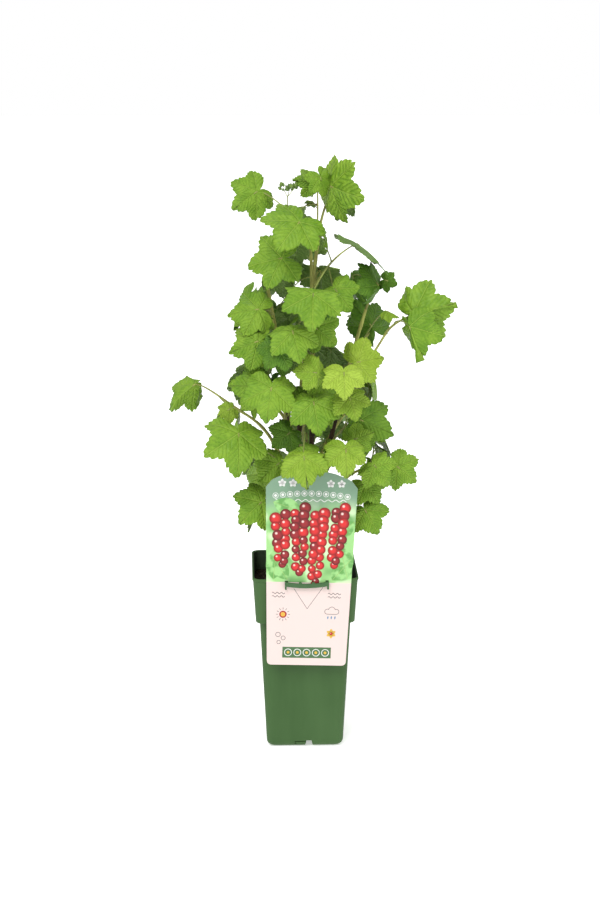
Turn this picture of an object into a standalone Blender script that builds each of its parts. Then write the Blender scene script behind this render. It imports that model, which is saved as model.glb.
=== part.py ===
"""A currant bush in a square nursery pot, with its hanging label.

Metres, +Z up. The origin is the centre of the pot's flat underside and the
label faces -Y. Four canes rise from the soil. Boughs leave them low down, and
each mass of leaves is one shoot whose stalks and leaves follow a seeded rule.
"""
import math
import random
from typing import NamedTuple

import bmesh
import bpy
from mathutils import Matrix, Vector
from mathutils.bvhtree import BVHTree

CLEAR = 0.0003

# Pot: half widths at each height, and the wall
POT_HEIGHT = 0.208
RIM_HALF = 0.060
RIM_LIP_HEIGHT = 0.0035
COLLAR_TOP_HALF = 0.0592
COLLAR_FOOT_HALF = 0.0562
COLLAR_FOOT = 0.1545
SHOULDER = 0.0020
BODY_TOP_HALF = 0.0518
BASE_HALF = 0.0443
BASE_ROUND = 0.0055
CORNER_TOP = 0.0125
CORNER_BASE = 0.0095
WALL = 0.0015
FLOOR = 0.0022
CORNER_STEPS = 3
DRAIN_OFFSET = 0.0055
DRAIN_WIDTH = 0.0090
DRAIN_HEIGHT = 0.0085
DRAIN_REACH = 0.0085
SOIL_TOP = 0.187

# Label: a card that leans a little clockwise in front of the pot
LABEL_BACK = 0.0603
LABEL_THICK = 0.0008
LABEL_MIDDLE = 0.0005
LABEL_FOOT = 0.1065
LABEL_FOOT_HALF = 0.0448
LABEL_SHOULDER = 0.314
LABEL_SHOULDER_HALF = 0.0510
LABEL_NECK_HALF = 0.0385
LABEL_NECK = 0.3255
LABEL_TOP = 0.3340
LABEL_SHOULDER_DIP = 0.0035
LABEL_CORNER = 0.0045
LABEL_LEAN = math.radians(1.7)
SLOT_HALF_WIDTH = 0.0018
SLOT_HALF_HEIGHT = 0.0032

# Clip: the bowed bar on the collar that holds the label
CLIP_HALF = 0.0228
CLIP_X = 0.0012
CLIP_Z = 0.2035
CLIP_BOW = 0.0024
CLIP_TALL = 0.0046
CLIP_DEEP = 0.0026
CLIP_FRONT = 0.0650
CLIP_STEPS = 6
PEG_HALF_WIDTH = 0.0011
PEG_HALF_HEIGHT = 0.0022
HOOK_DROP = 0.0062
HOOK_WIDTH = 0.0038
BUMP_RADIUS = 0.0021
BUMP_OFFSET = 0.0073

# Leaf: reach of the blade at each angle from its tip, as a share of its length,
# and the handles of the curve that its stalk follows
LEAF_EDGE = ((0, 1.00), (30, 0.73), (57, 0.92), (86, 0.71), (116, 0.78), (150, 0.60), (180, 0.12))
LEAF_HEART = 0.34
LEAF_THICK = 0.0009
LEAF_CUP = 0.16
STALK_RADIUS = 0.00105
STALK_SIDES = 3
STALK_STEPS = 2
STALK_SINK = 0.004
STALK_LEAVES = 0.38
STALK_ARRIVES = 0.30
ARRIVES_ALONG = 0.45
ARRIVES_UNDER = 0.75
STEM_RADIUS = 0.0017
STEM_SIDES = 4
STEM_STEPS = 5
LIMB_SIDES = 8
LIMB_STEPS = 10
BOUGH_SIDES = 6
SIDE_SHARES = (0.36, 0.52, 0.24, 0.66, 0.14)
HOST_SHIFTS = (0, 0.03, -0.03, 0.06, -0.06)
KINKS = ((0, 0, 0), (0, 0, 0.4), (0.5, 0, 0), (-0.5, 0, 0), (0, 0.5, 0), (0, -0.5, 0), (0, 0, -0.4),
         (0, 0, 0.9), (0.9, 0, 0.3), (-0.9, 0, 0.3), (0, 0.9, 0.3), (0, -0.9, 0.3))
TIP_KINK = 0.6
LIFT = Vector((0, 0, 0.35))
SETTLE_STEP = 0.002
SETTLE_STEPS = 16
SEAT_REACH = 0.020
SEAT_STEP = 0.0001
SEAT_SIDES = 12
TEST_SCALE = 1.05
TEST_THICK = 0.0022
TEST_STALK = 0.0016
TEST_SHORT = 0.0045
GOLDEN_ANGLE = math.radians(137.5)
TRIES = 60
RULE_LENGTH = (0.025, 0.039)
RULE_STALK = (0.020, 0.052)
RULE_STRETCH = (0.12, 0.80)
RULE_JITTER = 0.9
RULE_TURN = 45
RULE_TILT = (12, 48)
RULE_FACE = 35
FRONT_DEPTH = 0.03
HIDES_BEHIND = 0.004

# Crown: how far left and right the rule's leaves reach at each height, seen
# from in front and a little above, and the gaps that stay open to the sky
SIGHT_RISE = 0.23
CROWN_DEPTH = 0.135
CROWN = ((0.24, -0.072, 0.080), (0.33, -0.080, 0.100), (0.42, -0.082, 0.088),
         (0.50, -0.078, 0.078), (0.57, -0.058, 0.030), (0.64, -0.020, 0.014))
GAPS = ((0.042, 0.484, 0.020), (-0.006, 0.556, 0.008), (-0.034, 0.384, 0.013), (-0.036, 0.350, 0.012),
        (0.110, 0.475, 0.012), (0.060, 0.556, 0.012))


class Limb(NamedTuple):
    """A cane or bough: from its foot to its tip, with a bow and a taper."""
    foot: tuple
    tip: tuple
    bow: tuple
    foot_radius: float
    tip_radius: float
    flare: float = 1.0


class Blade(NamedTuple):
    """A leading leaf: where its stalk meets it, its length, and how it hangs in degrees."""
    x: float
    y: float
    z: float
    length: float
    turn: float = 0.0
    tilt: float = 20.0
    face: float = 0.0


class Mass(NamedTuple):
    """A mass of leaves: the limb and share that carries it, its leading leaves and its rule."""
    host: str
    share: float
    lead: Blade
    side: Blade
    count: int
    reach: float
    seed: int


CANES = {
    "cane_main": Limb((-0.003, 0.002, SOIL_TOP), (0.018, 0.012, 0.594), (-0.011, 0.002, 0),
                      0.0042, 0.0019, 1.7),
    "cane_left": Limb((-0.014, 0.014, SOIL_TOP), (-0.044, 0.010, 0.545), (0.013, 0.006, 0),
                      0.0038, 0.0017, 1.6),
    "cane_right": Limb((0.012, 0.008, SOIL_TOP), (0.070, 0.012, 0.502), (-0.012, -0.004, 0),
                       0.0040, 0.0017, 1.6),
    "cane_back": Limb((0.001, 0.020, SOIL_TOP), (0.010, 0.062, 0.560), (0.006, 0.006, 0),
                      0.0038, 0.0017, 1.6),
}


class Bough(NamedTuple):
    """A bough leaves a cane at a share of its height and tapers to its tip."""
    cane: str
    share: float
    tip: tuple
    bow: tuple
    foot_radius: float
    tip_radius: float


BOUGHS = {
    "bough_far_left": Bough("cane_left", 0.30, (-0.070, -0.012, 0.390), (0.004, 0, 0.012), 0.0024, 0.0014),
    "bough_low_left": Bough("cane_left", 0.22, (-0.040, -0.004, 0.336), (0.002, 0, 0.006), 0.0022, 0.0014),
    "bough_far_right": Bough("cane_right", 0.72, (0.092, -0.004, 0.478), (0.000, 0, -0.006), 0.0016, 0.0012),
    "bough_low_right": Bough("cane_right", 0.24, (0.062, -0.006, 0.320), (0.000, 0, 0.008), 0.0024, 0.0014),
    "bough_back_left": Bough("cane_back", 0.34, (-0.050, 0.066, 0.400), (0.000, 0, 0.010), 0.0024, 0.0014),
    "bough_back_right": Bough("cane_back", 0.30, (0.062, 0.064, 0.385), (0.000, 0, 0.010), 0.0024, 0.0014),
}

MASSES = {
    "crown_top": Mass("cane_main", 1.0, Blade(0.029, -0.005, 0.641, 0.045, 74, 0, -46),
                      Blade(0.044, 0.034, 0.628, 0.030, 20, 14, 130), 0, 0.060, 3),
    "crown_tip": Mass("cane_main", 0.95, Blade(0.0125, -0.012, 0.646, 0.025, -100, 12, 20),
                      Blade(-0.014, 0.030, 0.602, 0.030, -20, 14, 200), 0, 0.060, 33),
    "crown_left": Mass("cane_main", 0.93, Blade(-0.006, -0.035, 0.605, 0.043, -44, 45, 16),
                       Blade(-0.052, 0.000, 0.635, 0.033, -55, 14, 0), 2, 0.060, 5),
    "high_left": Mass("cane_left", 1.0, Blade(-0.025, -0.020, 0.564, 0.040, -78, 22, -12),
                      Blade(-0.034, 0.030, 0.552, 0.036, -20, 16, -130), 5, 0.080, 34),
    "upper_left": Mass("cane_left", 0.86, Blade(-0.051, -0.030, 0.509, 0.036, -82, 42, -12),
                       Blade(-0.062, 0.020, 0.515, 0.032, -10, 16, -80), 3, 0.070, 32),
    "high_centre": Mass("cane_main", 0.82, Blade(0.058, -0.012, 0.579, 0.048, -6, 56, 94),
                        Blade(0.007, -0.080, 0.533, 0.040, -2, 30, 0), 6, 0.085, 4),
    "high_right": Mass("cane_right", 1.0, Blade(0.083, 0.000, 0.531, 0.034, -148, 17, 45),
                       Blade(0.056, 0.020, 0.540, 0.036, 29, 11, -36), 3, 0.070, 7),
    "upper_right": Mass("cane_right", 0.84, Blade(0.077, 0.016, 0.482, 0.041, 214, 18, -2),
                        Blade(0.090, -0.034, 0.507, 0.015, 62, 40, 0), 3, 0.060, 9),
    "far_right": Mass("bough_far_right", 1.0, Blade(0.121, -0.020, 0.502, 0.048, 105, 20, -18),
                      Blade(0.115, -0.032, 0.489, 0.041, 18, 6, -5), 1, 0.050, 6),
    "centre": Mass("cane_main", 0.62, Blade(-0.015, -0.075, 0.492, 0.036, 14, 26, 0),
                   Blade(0.011, -0.080, 0.447, 0.026, -95, 14, 0), 7, 0.085, 11),
    "middle_left": Mass("cane_left", 0.66, Blade(-0.052, -0.045, 0.476, 0.035, -68, 30, -10),
                        Blade(-0.050, -0.050, 0.425, 0.037, -95, 16, -8), 8, 0.090, 8),
    "lower_left": Mass("cane_left", 0.46, Blade(-0.038, -0.075, 0.430, 0.039, -8, 16, 0),
                       Blade(-0.017, -0.030, 0.370, 0.027, -48, 5, 0), 7, 0.085, 12),
    "far_left": Mass("bough_far_left", 1.0, Blade(-0.122, -0.020, 0.424, 0.040, -46, 34, -15),
                     Blade(-0.083, -0.036, 0.399, 0.018, -60, 30, 0), 1, 0.050, 13),
    "low_left": Mass("bough_low_left", 1.0, Blade(-0.074, -0.060, 0.376, 0.047, -7, 24, 24),
                     Blade(-0.029, -0.038, 0.337, 0.031, -50, 24, 0), 6, 0.080, 14),
    "skirt_left": Mass("cane_left", 0.17, Blade(-0.049, -0.045, 0.294, 0.034, -46, 30, -3),
                       Blade(-0.050, 0.012, 0.312, 0.034, -20, 20, -60), 6, 0.080, 15),
    "low_centre": Mass("cane_main", 0.36, Blade(0.008, -0.070, 0.413, 0.037, 10, 22, 0),
                       Blade(-0.003, -0.088, 0.356, 0.035, 5, 22, 0), 6, 0.085, 41),
    "middle_right": Mass("cane_right", 0.62, Blade(0.057, -0.045, 0.452, 0.034, 98, 20, 10),
                         Blade(0.040, -0.085, 0.448, 0.029, 2, 28, 0), 8, 0.085, 17),
    "lower_right": Mass("cane_right", 0.50, Blade(0.062, -0.030, 0.384, 0.041, 66, 25, 0),
                        Blade(0.047, -0.070, 0.418, 0.027, 15, 35, 5), 8, 0.085, 18),
    "low_right": Mass("cane_right", 0.36, Blade(0.043, -0.080, 0.362, 0.031, 0, 22, 5),
                      Blade(0.054, -0.050, 0.366, 0.025, 110, 25, 5), 5, 0.075, 19),
    "arm_right": Mass("bough_low_right", 1.0, Blade(0.104, -0.030, 0.330, 0.029, 50, 18, 10),
                      Blade(0.076, -0.055, 0.338, 0.028, 35, 25, 5), 3, 0.065, 20),
    "skirt_right": Mass("cane_right", 0.15, Blade(0.067, -0.045, 0.284, 0.031, 28, 18, 0),
                        Blade(0.067, -0.040, 0.313, 0.027, 35, 20, 5), 5, 0.075, 51),
    "side_left": Mass("cane_left", 0.82, Blade(-0.064, 0.038, 0.478, 0.038, 0, 15, -92),
                      Blade(-0.050, 0.048, 0.520, 0.036, 0, 15, -115), 8, 0.090, 27),
    "front_left": Mass("cane_left", 0.56, Blade(-0.068, -0.002, 0.432, 0.033, 0, 14, -86),
                       Blade(-0.055, 0.022, 0.405, 0.032, -5, 14, -80), 6, 0.085, 30),
    "front_right": Mass("cane_right", 0.55, Blade(0.081, 0.004, 0.424, 0.034, 0, 14, 92),
                        Blade(0.066, -0.016, 0.365, 0.034, 5, 14, 84), 6, 0.085, 31),
    "side_right": Mass("cane_right", 0.74, Blade(0.078, 0.045, 0.430, 0.038, 0, 14, 95),
                       Blade(0.070, 0.066, 0.474, 0.034, 0, 14, 120), 7, 0.080, 28),
    "back_top": Mass("cane_back", 1.0, Blade(-0.004, 0.074, 0.580, 0.040, 10, 30, 170),
                     Blade(-0.024, 0.085, 0.540, 0.040, -20, 22, -150), 8, 0.090, 22),
    "back_upper": Mass("cane_back", 0.86, Blade(0.022, 0.096, 0.535, 0.038, 0, 22, 150),
                       Blade(-0.030, 0.100, 0.490, 0.040, 0, 20, -160), 8, 0.090, 29),
    "back_middle": Mass("cane_back", 0.70, Blade(0.000, 0.112, 0.455, 0.044, 0, 25, 185),
                        Blade(0.036, 0.108, 0.440, 0.038, 10, 20, 155), 8, 0.090, 23),
    "back_left": Mass("bough_back_left", 1.0, Blade(-0.062, 0.085, 0.420, 0.042, 10, 22, -130),
                      Blade(-0.072, 0.050, 0.380, 0.040, 0, 16, -95), 9, 0.095, 24),
    "back_right": Mass("bough_back_right", 1.0, Blade(0.070, 0.094, 0.410, 0.040, -10, 22, 140),
                       Blade(0.084, 0.066, 0.366, 0.034, 0, 38, 105), 8, 0.095, 25),
    "back_low": Mass("cane_back", 0.28, Blade(0.004, 0.100, 0.360, 0.044, 0, 20, 180),
                     Blade(-0.045, 0.070, 0.320, 0.040, 10, 18, -150), 9, 0.095, 26),
}


def clear_scene():
    """Remove whatever the file opened with."""
    for item in list(bpy.data.objects):
        bpy.data.objects.remove(item, do_unlink=True)


def make_material(name, colour, roughness):
    """One plain Principled material."""
    material = bpy.data.materials.new(name)
    material.use_nodes = True
    shader = material.node_tree.nodes["Principled BSDF"]
    shader.inputs["Base Color"].default_value = (*colour, 1.0)
    shader.inputs["Roughness"].default_value = roughness
    material.diffuse_color = (*colour, 1.0)
    return material


def make_object(name, points, faces, material):
    """One mesh object from corner points and faces."""
    mesh = bpy.data.meshes.new(name)
    mesh.from_pydata([tuple(point) for point in points], [], faces)
    mesh.materials.append(material)
    item = bpy.data.objects.new(name, mesh)
    bpy.context.scene.collection.objects.link(item)
    return item


def face_out(item, split=False):
    """Turn all faces of a closed mesh to point out, and split them into triangles if asked."""
    work = bmesh.new()
    work.from_mesh(item.data)
    if split:
        bmesh.ops.triangulate(work, faces=work.faces)
    bmesh.ops.recalc_face_normals(work, faces=work.faces)
    work.to_mesh(item.data)
    work.free()


def square_ring(half, corner, height):
    """Points round a square with rounded corners."""
    points = []
    for quarter in range(4):
        turn = quarter * math.pi / 2
        middle = Matrix.Rotation(turn, 3, "Z") @ Vector((half - corner, half - corner, 0))
        for step in range(CORNER_STEPS + 1):
            angle = turn + step * math.pi / 2 / CORNER_STEPS
            points.append(Vector((middle.x + corner * math.cos(angle),
                                  middle.y + corner * math.sin(angle), height)))
    return points


def loft(name, rings, material):
    """Join rings of equal length into one closed solid with flat end caps."""
    count = len(rings[0])
    points = [point for ring in rings for point in ring]
    faces = [tuple(reversed(range(count)))]
    for ring in range(len(rings) - 1):
        base = ring * count
        for index in range(count):
            after = (index + 1) % count
            faces.append((base + index, base + after, base + count + after, base + count + index))
    last = (len(rings) - 1) * count
    faces.append(tuple(range(last, last + count)))
    item = make_object(name, points, faces, material)
    face_out(item)
    return item


def box_points(low, high):
    """Corner points and faces of a box."""
    points = [(x, y, z) for x in (low[0], high[0]) for y in (low[1], high[1]) for z in (low[2], high[2])]
    faces = [(0, 1, 3, 2), (4, 6, 7, 5), (0, 4, 5, 1), (2, 3, 7, 6), (0, 2, 6, 4), (1, 5, 7, 3)]
    return points, faces


def pot_profile(inset, floor):
    """Half width, corner radius and height of the wall from foot to rim, moved in by an inset."""
    shoulder_foot = COLLAR_FOOT - SHOULDER + (inset if inset else 0)
    return [
        (BASE_HALF - inset, CORNER_BASE - inset, max(floor, BASE_ROUND)),
        (BODY_TOP_HALF - inset, CORNER_TOP - inset, shoulder_foot),
        (COLLAR_FOOT_HALF - inset, CORNER_TOP - inset, COLLAR_FOOT + inset),
    ]


def make_pot(material):
    """The hollow pot: rounded foot, body, shoulder, collar, lip and the way back down inside."""
    rings = []
    for step in range(3):
        angle = step * math.pi / 6
        inset = BASE_ROUND * (1 - math.sin(angle))
        rings.append(square_ring(BASE_HALF - inset, CORNER_BASE, BASE_ROUND * (1 - math.cos(angle))))
    rings += [square_ring(*ring) for ring in pot_profile(0, 0)]
    lip = POT_HEIGHT - RIM_LIP_HEIGHT
    rings.append(square_ring(COLLAR_TOP_HALF, CORNER_TOP, lip))
    rings.append(square_ring(RIM_HALF, CORNER_TOP, lip + CLEAR))
    rings.append(square_ring(RIM_HALF, CORNER_TOP, POT_HEIGHT))
    rings.append(square_ring(COLLAR_TOP_HALF - WALL, CORNER_TOP - WALL, POT_HEIGHT))
    for ring in reversed(pot_profile(WALL, BASE_ROUND)[1:]):
        rings.append(square_ring(*ring))
    rings.append(square_ring(BASE_HALF - WALL, CORNER_BASE - WALL, BASE_ROUND))
    rings.append(square_ring(BASE_HALF - WALL - FLOOR, CORNER_BASE - WALL, FLOOR))
    pot = loft("pot", rings, material)
    pot.data.shade_smooth()
    pot.data.set_sharp_from_angle(angle=math.radians(35))
    points = []
    faces = []
    for quarter in range(4):
        turn = Matrix.Rotation(quarter * math.pi / 2, 3, "Z")
        low = (DRAIN_OFFSET - DRAIN_WIDTH / 2, -BASE_HALF - WALL, -WALL)
        high = (DRAIN_OFFSET + DRAIN_WIDTH / 2, DRAIN_REACH - BASE_HALF, DRAIN_HEIGHT)
        corners, sides = box_points(low, high)
        start = len(points)
        points += [turn @ Vector(corner) for corner in corners]
        faces += [tuple(start + index for index in side) for side in sides]
    cutter = make_object("drain_cutter", points, faces, material)
    face_out(cutter)
    cutter.hide_render = True
    cutter.display_type = "WIRE"
    cut = pot.modifiers.new("drains", "BOOLEAN")
    cut.operation = "DIFFERENCE"
    cut.object = cutter
    return pot


def make_soil(material):
    """The filled inside of the pot, a little clear of its wall, up to the soil's top."""
    gap = WALL + CLEAR
    rings = [
        square_ring(BASE_HALF - gap - FLOOR, CORNER_BASE - gap, FLOOR + CLEAR),
        square_ring(BASE_HALF - gap - CLEAR, CORNER_BASE - gap, BASE_ROUND + CLEAR),
    ]
    body, collar = pot_profile(gap, 0)[1:]
    rings.append(square_ring(*body))
    rings.append(square_ring(*collar))
    share = (SOIL_TOP - COLLAR_FOOT) / (POT_HEIGHT - COLLAR_FOOT)
    half = COLLAR_FOOT_HALF + share * (COLLAR_TOP_HALF - COLLAR_FOOT_HALF) - gap
    rings.append(square_ring(half, CORNER_TOP - gap, SOIL_TOP))
    return loft("soil", rings, material)


def lean_label(x, z):
    """A place on the label before its lean, turned by the lean about its foot's middle."""
    across = x
    up = z - LABEL_FOOT
    return (LABEL_MIDDLE + across * math.cos(LABEL_LEAN) + up * math.sin(LABEL_LEAN),
            LABEL_FOOT + up * math.cos(LABEL_LEAN) - across * math.sin(LABEL_LEAN))


def label_outline():
    """The label's outline: rounded foot, straight sides, shoulders and an arched head."""
    halves = []
    for side in (1, -1):
        arc = []
        for step in range(CORNER_STEPS + 1):
            angle = step * math.pi / 2 / CORNER_STEPS
            arc.append((side * (LABEL_FOOT_HALF - LABEL_CORNER + LABEL_CORNER * math.sin(angle)),
                        LABEL_FOOT + LABEL_CORNER * (1 - math.cos(angle))))
        arc.append((side * LABEL_SHOULDER_HALF, LABEL_SHOULDER))
        arc.append((side * (LABEL_SHOULDER_HALF + LABEL_NECK_HALF) / 2, LABEL_NECK - LABEL_SHOULDER_DIP))
        arc.append((side * LABEL_NECK_HALF, LABEL_NECK))
        for step in (2, 1):
            share = step / 3
            arc.append((side * LABEL_NECK_HALF * share, LABEL_TOP - (LABEL_TOP - LABEL_NECK) * share ** 2))
        halves.append(arc)
    right, left = halves
    return right + [(0.0, LABEL_TOP)] + list(reversed(left))


def make_label(material):
    """The card with a slot for each peg of the clip."""
    outline = [lean_label(x, z) for x, z in label_outline()]
    count = len(outline)
    points = [(x, -LABEL_BACK, z) for x, z in outline]
    points += [(x, -LABEL_BACK - LABEL_THICK, z) for x, z in outline]
    faces = [tuple(range(count)), tuple(reversed(range(count, 2 * count)))]
    for index in range(count):
        after = (index + 1) % count
        faces.append((index, index + count, after + count, after))
    label = make_object("label", points, faces, material)
    face_out(label)
    points = []
    faces = []
    for side in (-1, 1):
        middle = CLIP_X + side * CLIP_HALF
        low = (middle - SLOT_HALF_WIDTH, -LABEL_BACK - 2 * LABEL_THICK, CLIP_Z - SLOT_HALF_HEIGHT)
        high = (middle + SLOT_HALF_WIDTH, -LABEL_BACK + LABEL_THICK, CLIP_Z + SLOT_HALF_HEIGHT)
        corners, sides = box_points(low, high)
        start = len(points)
        points += corners
        faces += [tuple(start + index for index in side_face) for side_face in sides]
    cutter = make_object("slot_cutter", points, faces, material)
    face_out(cutter)
    cutter.hide_render = True
    cutter.display_type = "WIRE"
    cut = label.modifiers.new("slots", "BOOLEAN")
    cut.operation = "DIFFERENCE"
    cut.object = cutter
    return label


def make_clip(material):
    """The bowed bar, two half round bumps on it, and a hook and a peg at each end."""
    front = -CLIP_FRONT
    back = -CLIP_FRONT + CLIP_DEEP
    lower = []
    upper = []
    for step in range(CLIP_STEPS + 1):
        share = 2 * step / CLIP_STEPS - 1
        x = CLIP_X + share * (CLIP_HALF + HOOK_WIDTH / 2)
        middle = CLIP_Z - CLIP_BOW * (1 - share ** 2)
        lower.append((x, middle - CLIP_TALL / 2))
        upper.append((x, middle + CLIP_TALL / 2))
    outline = lower + list(reversed(upper))
    count = len(outline)
    points = [(x, front, z) for x, z in outline] + [(x, back, z) for x, z in outline]
    faces = [tuple(range(count)), tuple(reversed(range(count, 2 * count)))]
    for index in range(count):
        after = (index + 1) % count
        faces.append((index, index + count, after + count, after))
    pieces = [make_object("clip_bar", points, faces, material)]
    for side in (-1, 1):
        middle = CLIP_X + side * CLIP_HALF
        outer = middle + side * HOOK_WIDTH / 2
        low = (min(outer, middle), front - CLEAR, CLIP_Z - HOOK_DROP)
        high = (max(outer, middle), back + CLEAR, CLIP_Z)
        pieces.append(make_object("clip_hook", *box_points(low, high), material))
        low = (middle - PEG_HALF_WIDTH, -CLIP_FRONT + CLIP_DEEP / 2, CLIP_Z - PEG_HALF_HEIGHT)
        high = (middle + PEG_HALF_WIDTH, -RIM_HALF - CLEAR, CLIP_Z + PEG_HALF_HEIGHT)
        pieces.append(make_object("clip_peg", *box_points(low, high), material))
        rise = CLIP_BOW * (1 - (BUMP_OFFSET / CLIP_HALF) ** 2)
        centre = Vector((CLIP_X + side * BUMP_OFFSET, (front + back) / 2, CLIP_Z - rise + CLIP_TALL / 2))
        bumps = []
        for depth in (front + CLEAR, back - CLEAR):
            for step in range(8):
                angle = step * math.pi / 4
                bumps.append((centre.x + BUMP_RADIUS * math.cos(angle), depth,
                              centre.z + BUMP_RADIUS * math.sin(angle)))
        faces = [tuple(range(8)), tuple(reversed(range(8, 16)))]
        faces += [(index, index + 8, (index + 1) % 8 + 8, (index + 1) % 8) for index in range(8)]
        pieces.append(make_object("clip_bump", bumps, faces, material))
    return fuse("label_clip", pieces)


def fuse(name, pieces):
    """Join closed pieces by one Boolean union on a collection, then remove them."""
    for piece in pieces:
        face_out(piece, split=True)
    solvers = ["EXACT", "MANIFOLD"]
    while solvers:
        solver = solvers.pop(0)
        body = pieces[0].copy()
        body.data = pieces[0].data.copy()
        body.name = name
        bpy.context.scene.collection.objects.link(body)
        group = bpy.data.collections.new(name + "_parts")
        for piece in pieces[1:]:
            group.objects.link(piece)
        join = body.modifiers.new("join", "BOOLEAN")
        join.operation = "UNION"
        join.solver = solver
        join.operand_type = "COLLECTION"
        join.collection = group
        bpy.context.view_layer.update()
        seen = body.evaluated_get(bpy.context.evaluated_depsgraph_get())
        mesh = bpy.data.meshes.new_from_object(seen)
        body.modifiers.clear()
        body.data = mesh
        mesh.name = name
        bpy.data.collections.remove(group)
        if keep_outer_shell(mesh, "BEAUTY") or keep_outer_shell(mesh, "EAR_CLIP"):
            break
        bpy.data.objects.remove(body, do_unlink=True)
        if not solvers:
            print("one leaf fewer for", name)
            for piece in pieces[-2:]:
                bpy.data.objects.remove(piece, do_unlink=True)
            pieces = pieces[:-2]
            solvers = ["EXACT", "MANIFOLD"]
    for piece in pieces:
        bpy.data.objects.remove(piece, do_unlink=True)
    return body


def shell_volume(faces):
    """The volume that a closed group of triangles holds."""
    total = 0.0
    for face in faces:
        first, second, third = (corner.vert.co for corner in face.loops)
        total += first.dot(second.cross(third)) / 6
    return total


def keep_outer_shell(mesh, method):
    """Drop loose scraps and sealed hollows, and say whether what stays is closed."""
    work = bmesh.new()
    work.from_mesh(mesh)
    bmesh.ops.remove_doubles(work, verts=work.verts, dist=0.000004)
    bmesh.ops.dissolve_degenerate(work, edges=work.edges, dist=0.000002)
    bmesh.ops.triangulate(work, faces=work.faces, ngon_method=method)
    groups = []
    seen = set()
    for first in work.faces:
        if first in seen:
            continue
        group = []
        queue = [first]
        seen.add(first)
        while queue:
            face = queue.pop()
            group.append(face)
            for edge in face.edges:
                for other in edge.link_faces:
                    if other not in seen:
                        seen.add(other)
                        queue.append(other)
        groups.append((shell_volume(group), group))
    groups.sort(key=lambda entry: entry[0])
    for _, group in groups[:-1]:
        bmesh.ops.delete(work, geom=group, context="FACES")
    loose = [vert for vert in work.verts if not vert.link_faces]
    bmesh.ops.delete(work, geom=loose, context="VERTS")
    closed = len(work.faces) > 0 and all(len(edge.link_faces) == 2 for edge in work.edges)
    if closed:
        work.to_mesh(mesh)
    work.free()
    return closed


def bend(start, end, bow, share):
    """A place along a limb that bows away from the straight line."""
    return start.lerp(end, share) + bow * math.sin(math.pi * share)


def cubic(first, second, third, fourth, share):
    """A place along a Bezier curve."""
    rest = 1 - share
    return (first * rest ** 3 + second * 3 * rest ** 2 * share
            + third * 3 * rest * share ** 2 + fourth * share ** 3)


def tube(path, radii, sides, foot_way=None):
    """Points and faces of a closed tube along a path, its foot cut square to a given way."""
    count = len(path)
    points = []
    side_way = None
    for index, place in enumerate(path):
        before = path[max(index - 1, 0)]
        after = path[min(index + 1, count - 1)]
        way = (after - before).normalized()
        if foot_way and index == 0:
            way = foot_way
        if side_way is None:
            side_way = way.orthogonal().normalized()
        side_way = (side_way - way * side_way.dot(way)).normalized()
        other_way = way.cross(side_way)
        for step in range(sides):
            angle = 2 * math.pi * step / sides
            points.append(place + radii[index] * (side_way * math.cos(angle) + other_way * math.sin(angle)))
    faces = [tuple(reversed(range(sides)))]
    for ring in range(count - 1):
        base = ring * sides
        for index in range(sides):
            after = (index + 1) % sides
            faces.append((base + index, base + after, base + sides + after, base + sides + index))
    faces.append(tuple(range((count - 1) * sides, count * sides)))
    return points, faces


def tree_of(points, faces):
    """A search tree over a mesh, for clearance tests."""
    return BVHTree.FromPolygons([tuple(point) for point in points], faces, epsilon=0.0)


class Obstacle(NamedTuple):
    """A placed solid, with the ball round it for a quick first test."""
    middle: Vector
    radius: float
    tree: BVHTree


def obstacle(points, faces):
    """Wrap a placed solid for the clearance tests."""
    middle = sum((Vector(point) for point in points), Vector()) / len(points)
    radius = max((Vector(point) - middle).length for point in points)
    return Obstacle(middle, radius, tree_of(points, faces))


def touches(points, faces, placed):
    """Whether a solid would touch anything placed so far."""
    own = obstacle(points, faces)
    for other in placed:
        if (own.middle - other.middle).length > own.radius + other.radius:
            continue
        if own.tree.overlap(other.tree):
            return True
    return False


def limb_path(limb):
    """The middle line of a cane."""
    start, end, bow = Vector(limb.foot), Vector(limb.tip), Vector(limb.bow)
    start.z += CLEAR
    return [bend(start, end, bow, step / LIMB_STEPS) for step in range(LIMB_STEPS + 1)]


def limb_radii(foot_radius, tip_radius, flare):
    """The taper of a limb, with a flare over its first stretch."""
    radii = []
    for step in range(LIMB_STEPS + 1):
        share = step / LIMB_STEPS
        swell = 1 + (flare - 1) * max(0.0, 1 - share * 8) ** 2
        radii.append((foot_radius + (tip_radius - foot_radius) * share) * swell)
    return radii


def along(path, share):
    """The place and direction at a share of a path's points."""
    position = share * (len(path) - 1)
    index = min(int(position), len(path) - 2)
    place = path[index].lerp(path[index + 1], position - index)
    return place, (path[index + 1] - path[index]).normalized()


def seat(start, way, radius, tree):
    """Move a limb's foot in along its way until its end is just clear of what carries it."""
    reach = SEAT_REACH
    while reach > 0:
        foot = start + way * (reach - SEAT_STEP)
        ring, _ = tube([foot, foot + way * STALK_SINK], [radius, radius], SEAT_SIDES)
        if min(tree.find_nearest(point)[3] for point in ring + [foot]) < CLEAR:
            break
        reach -= SEAT_STEP
    return start + way * reach


def blade_axes(blade):
    """The tip's way, the way across and the upper face's way of a hanging leaf."""
    turn = Matrix.Rotation(math.radians(blade.turn), 3, "Y").inverted()
    tilt = Matrix.Rotation(-math.radians(blade.tilt), 3, "X")
    face = Matrix.Rotation(math.radians(blade.face), 3, "Z")
    whole = face @ tilt @ turn
    return whole @ Vector((0, 0, -1)), whole @ Vector((1, 0, 0)), whole @ Vector((0, -1, 0))


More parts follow.
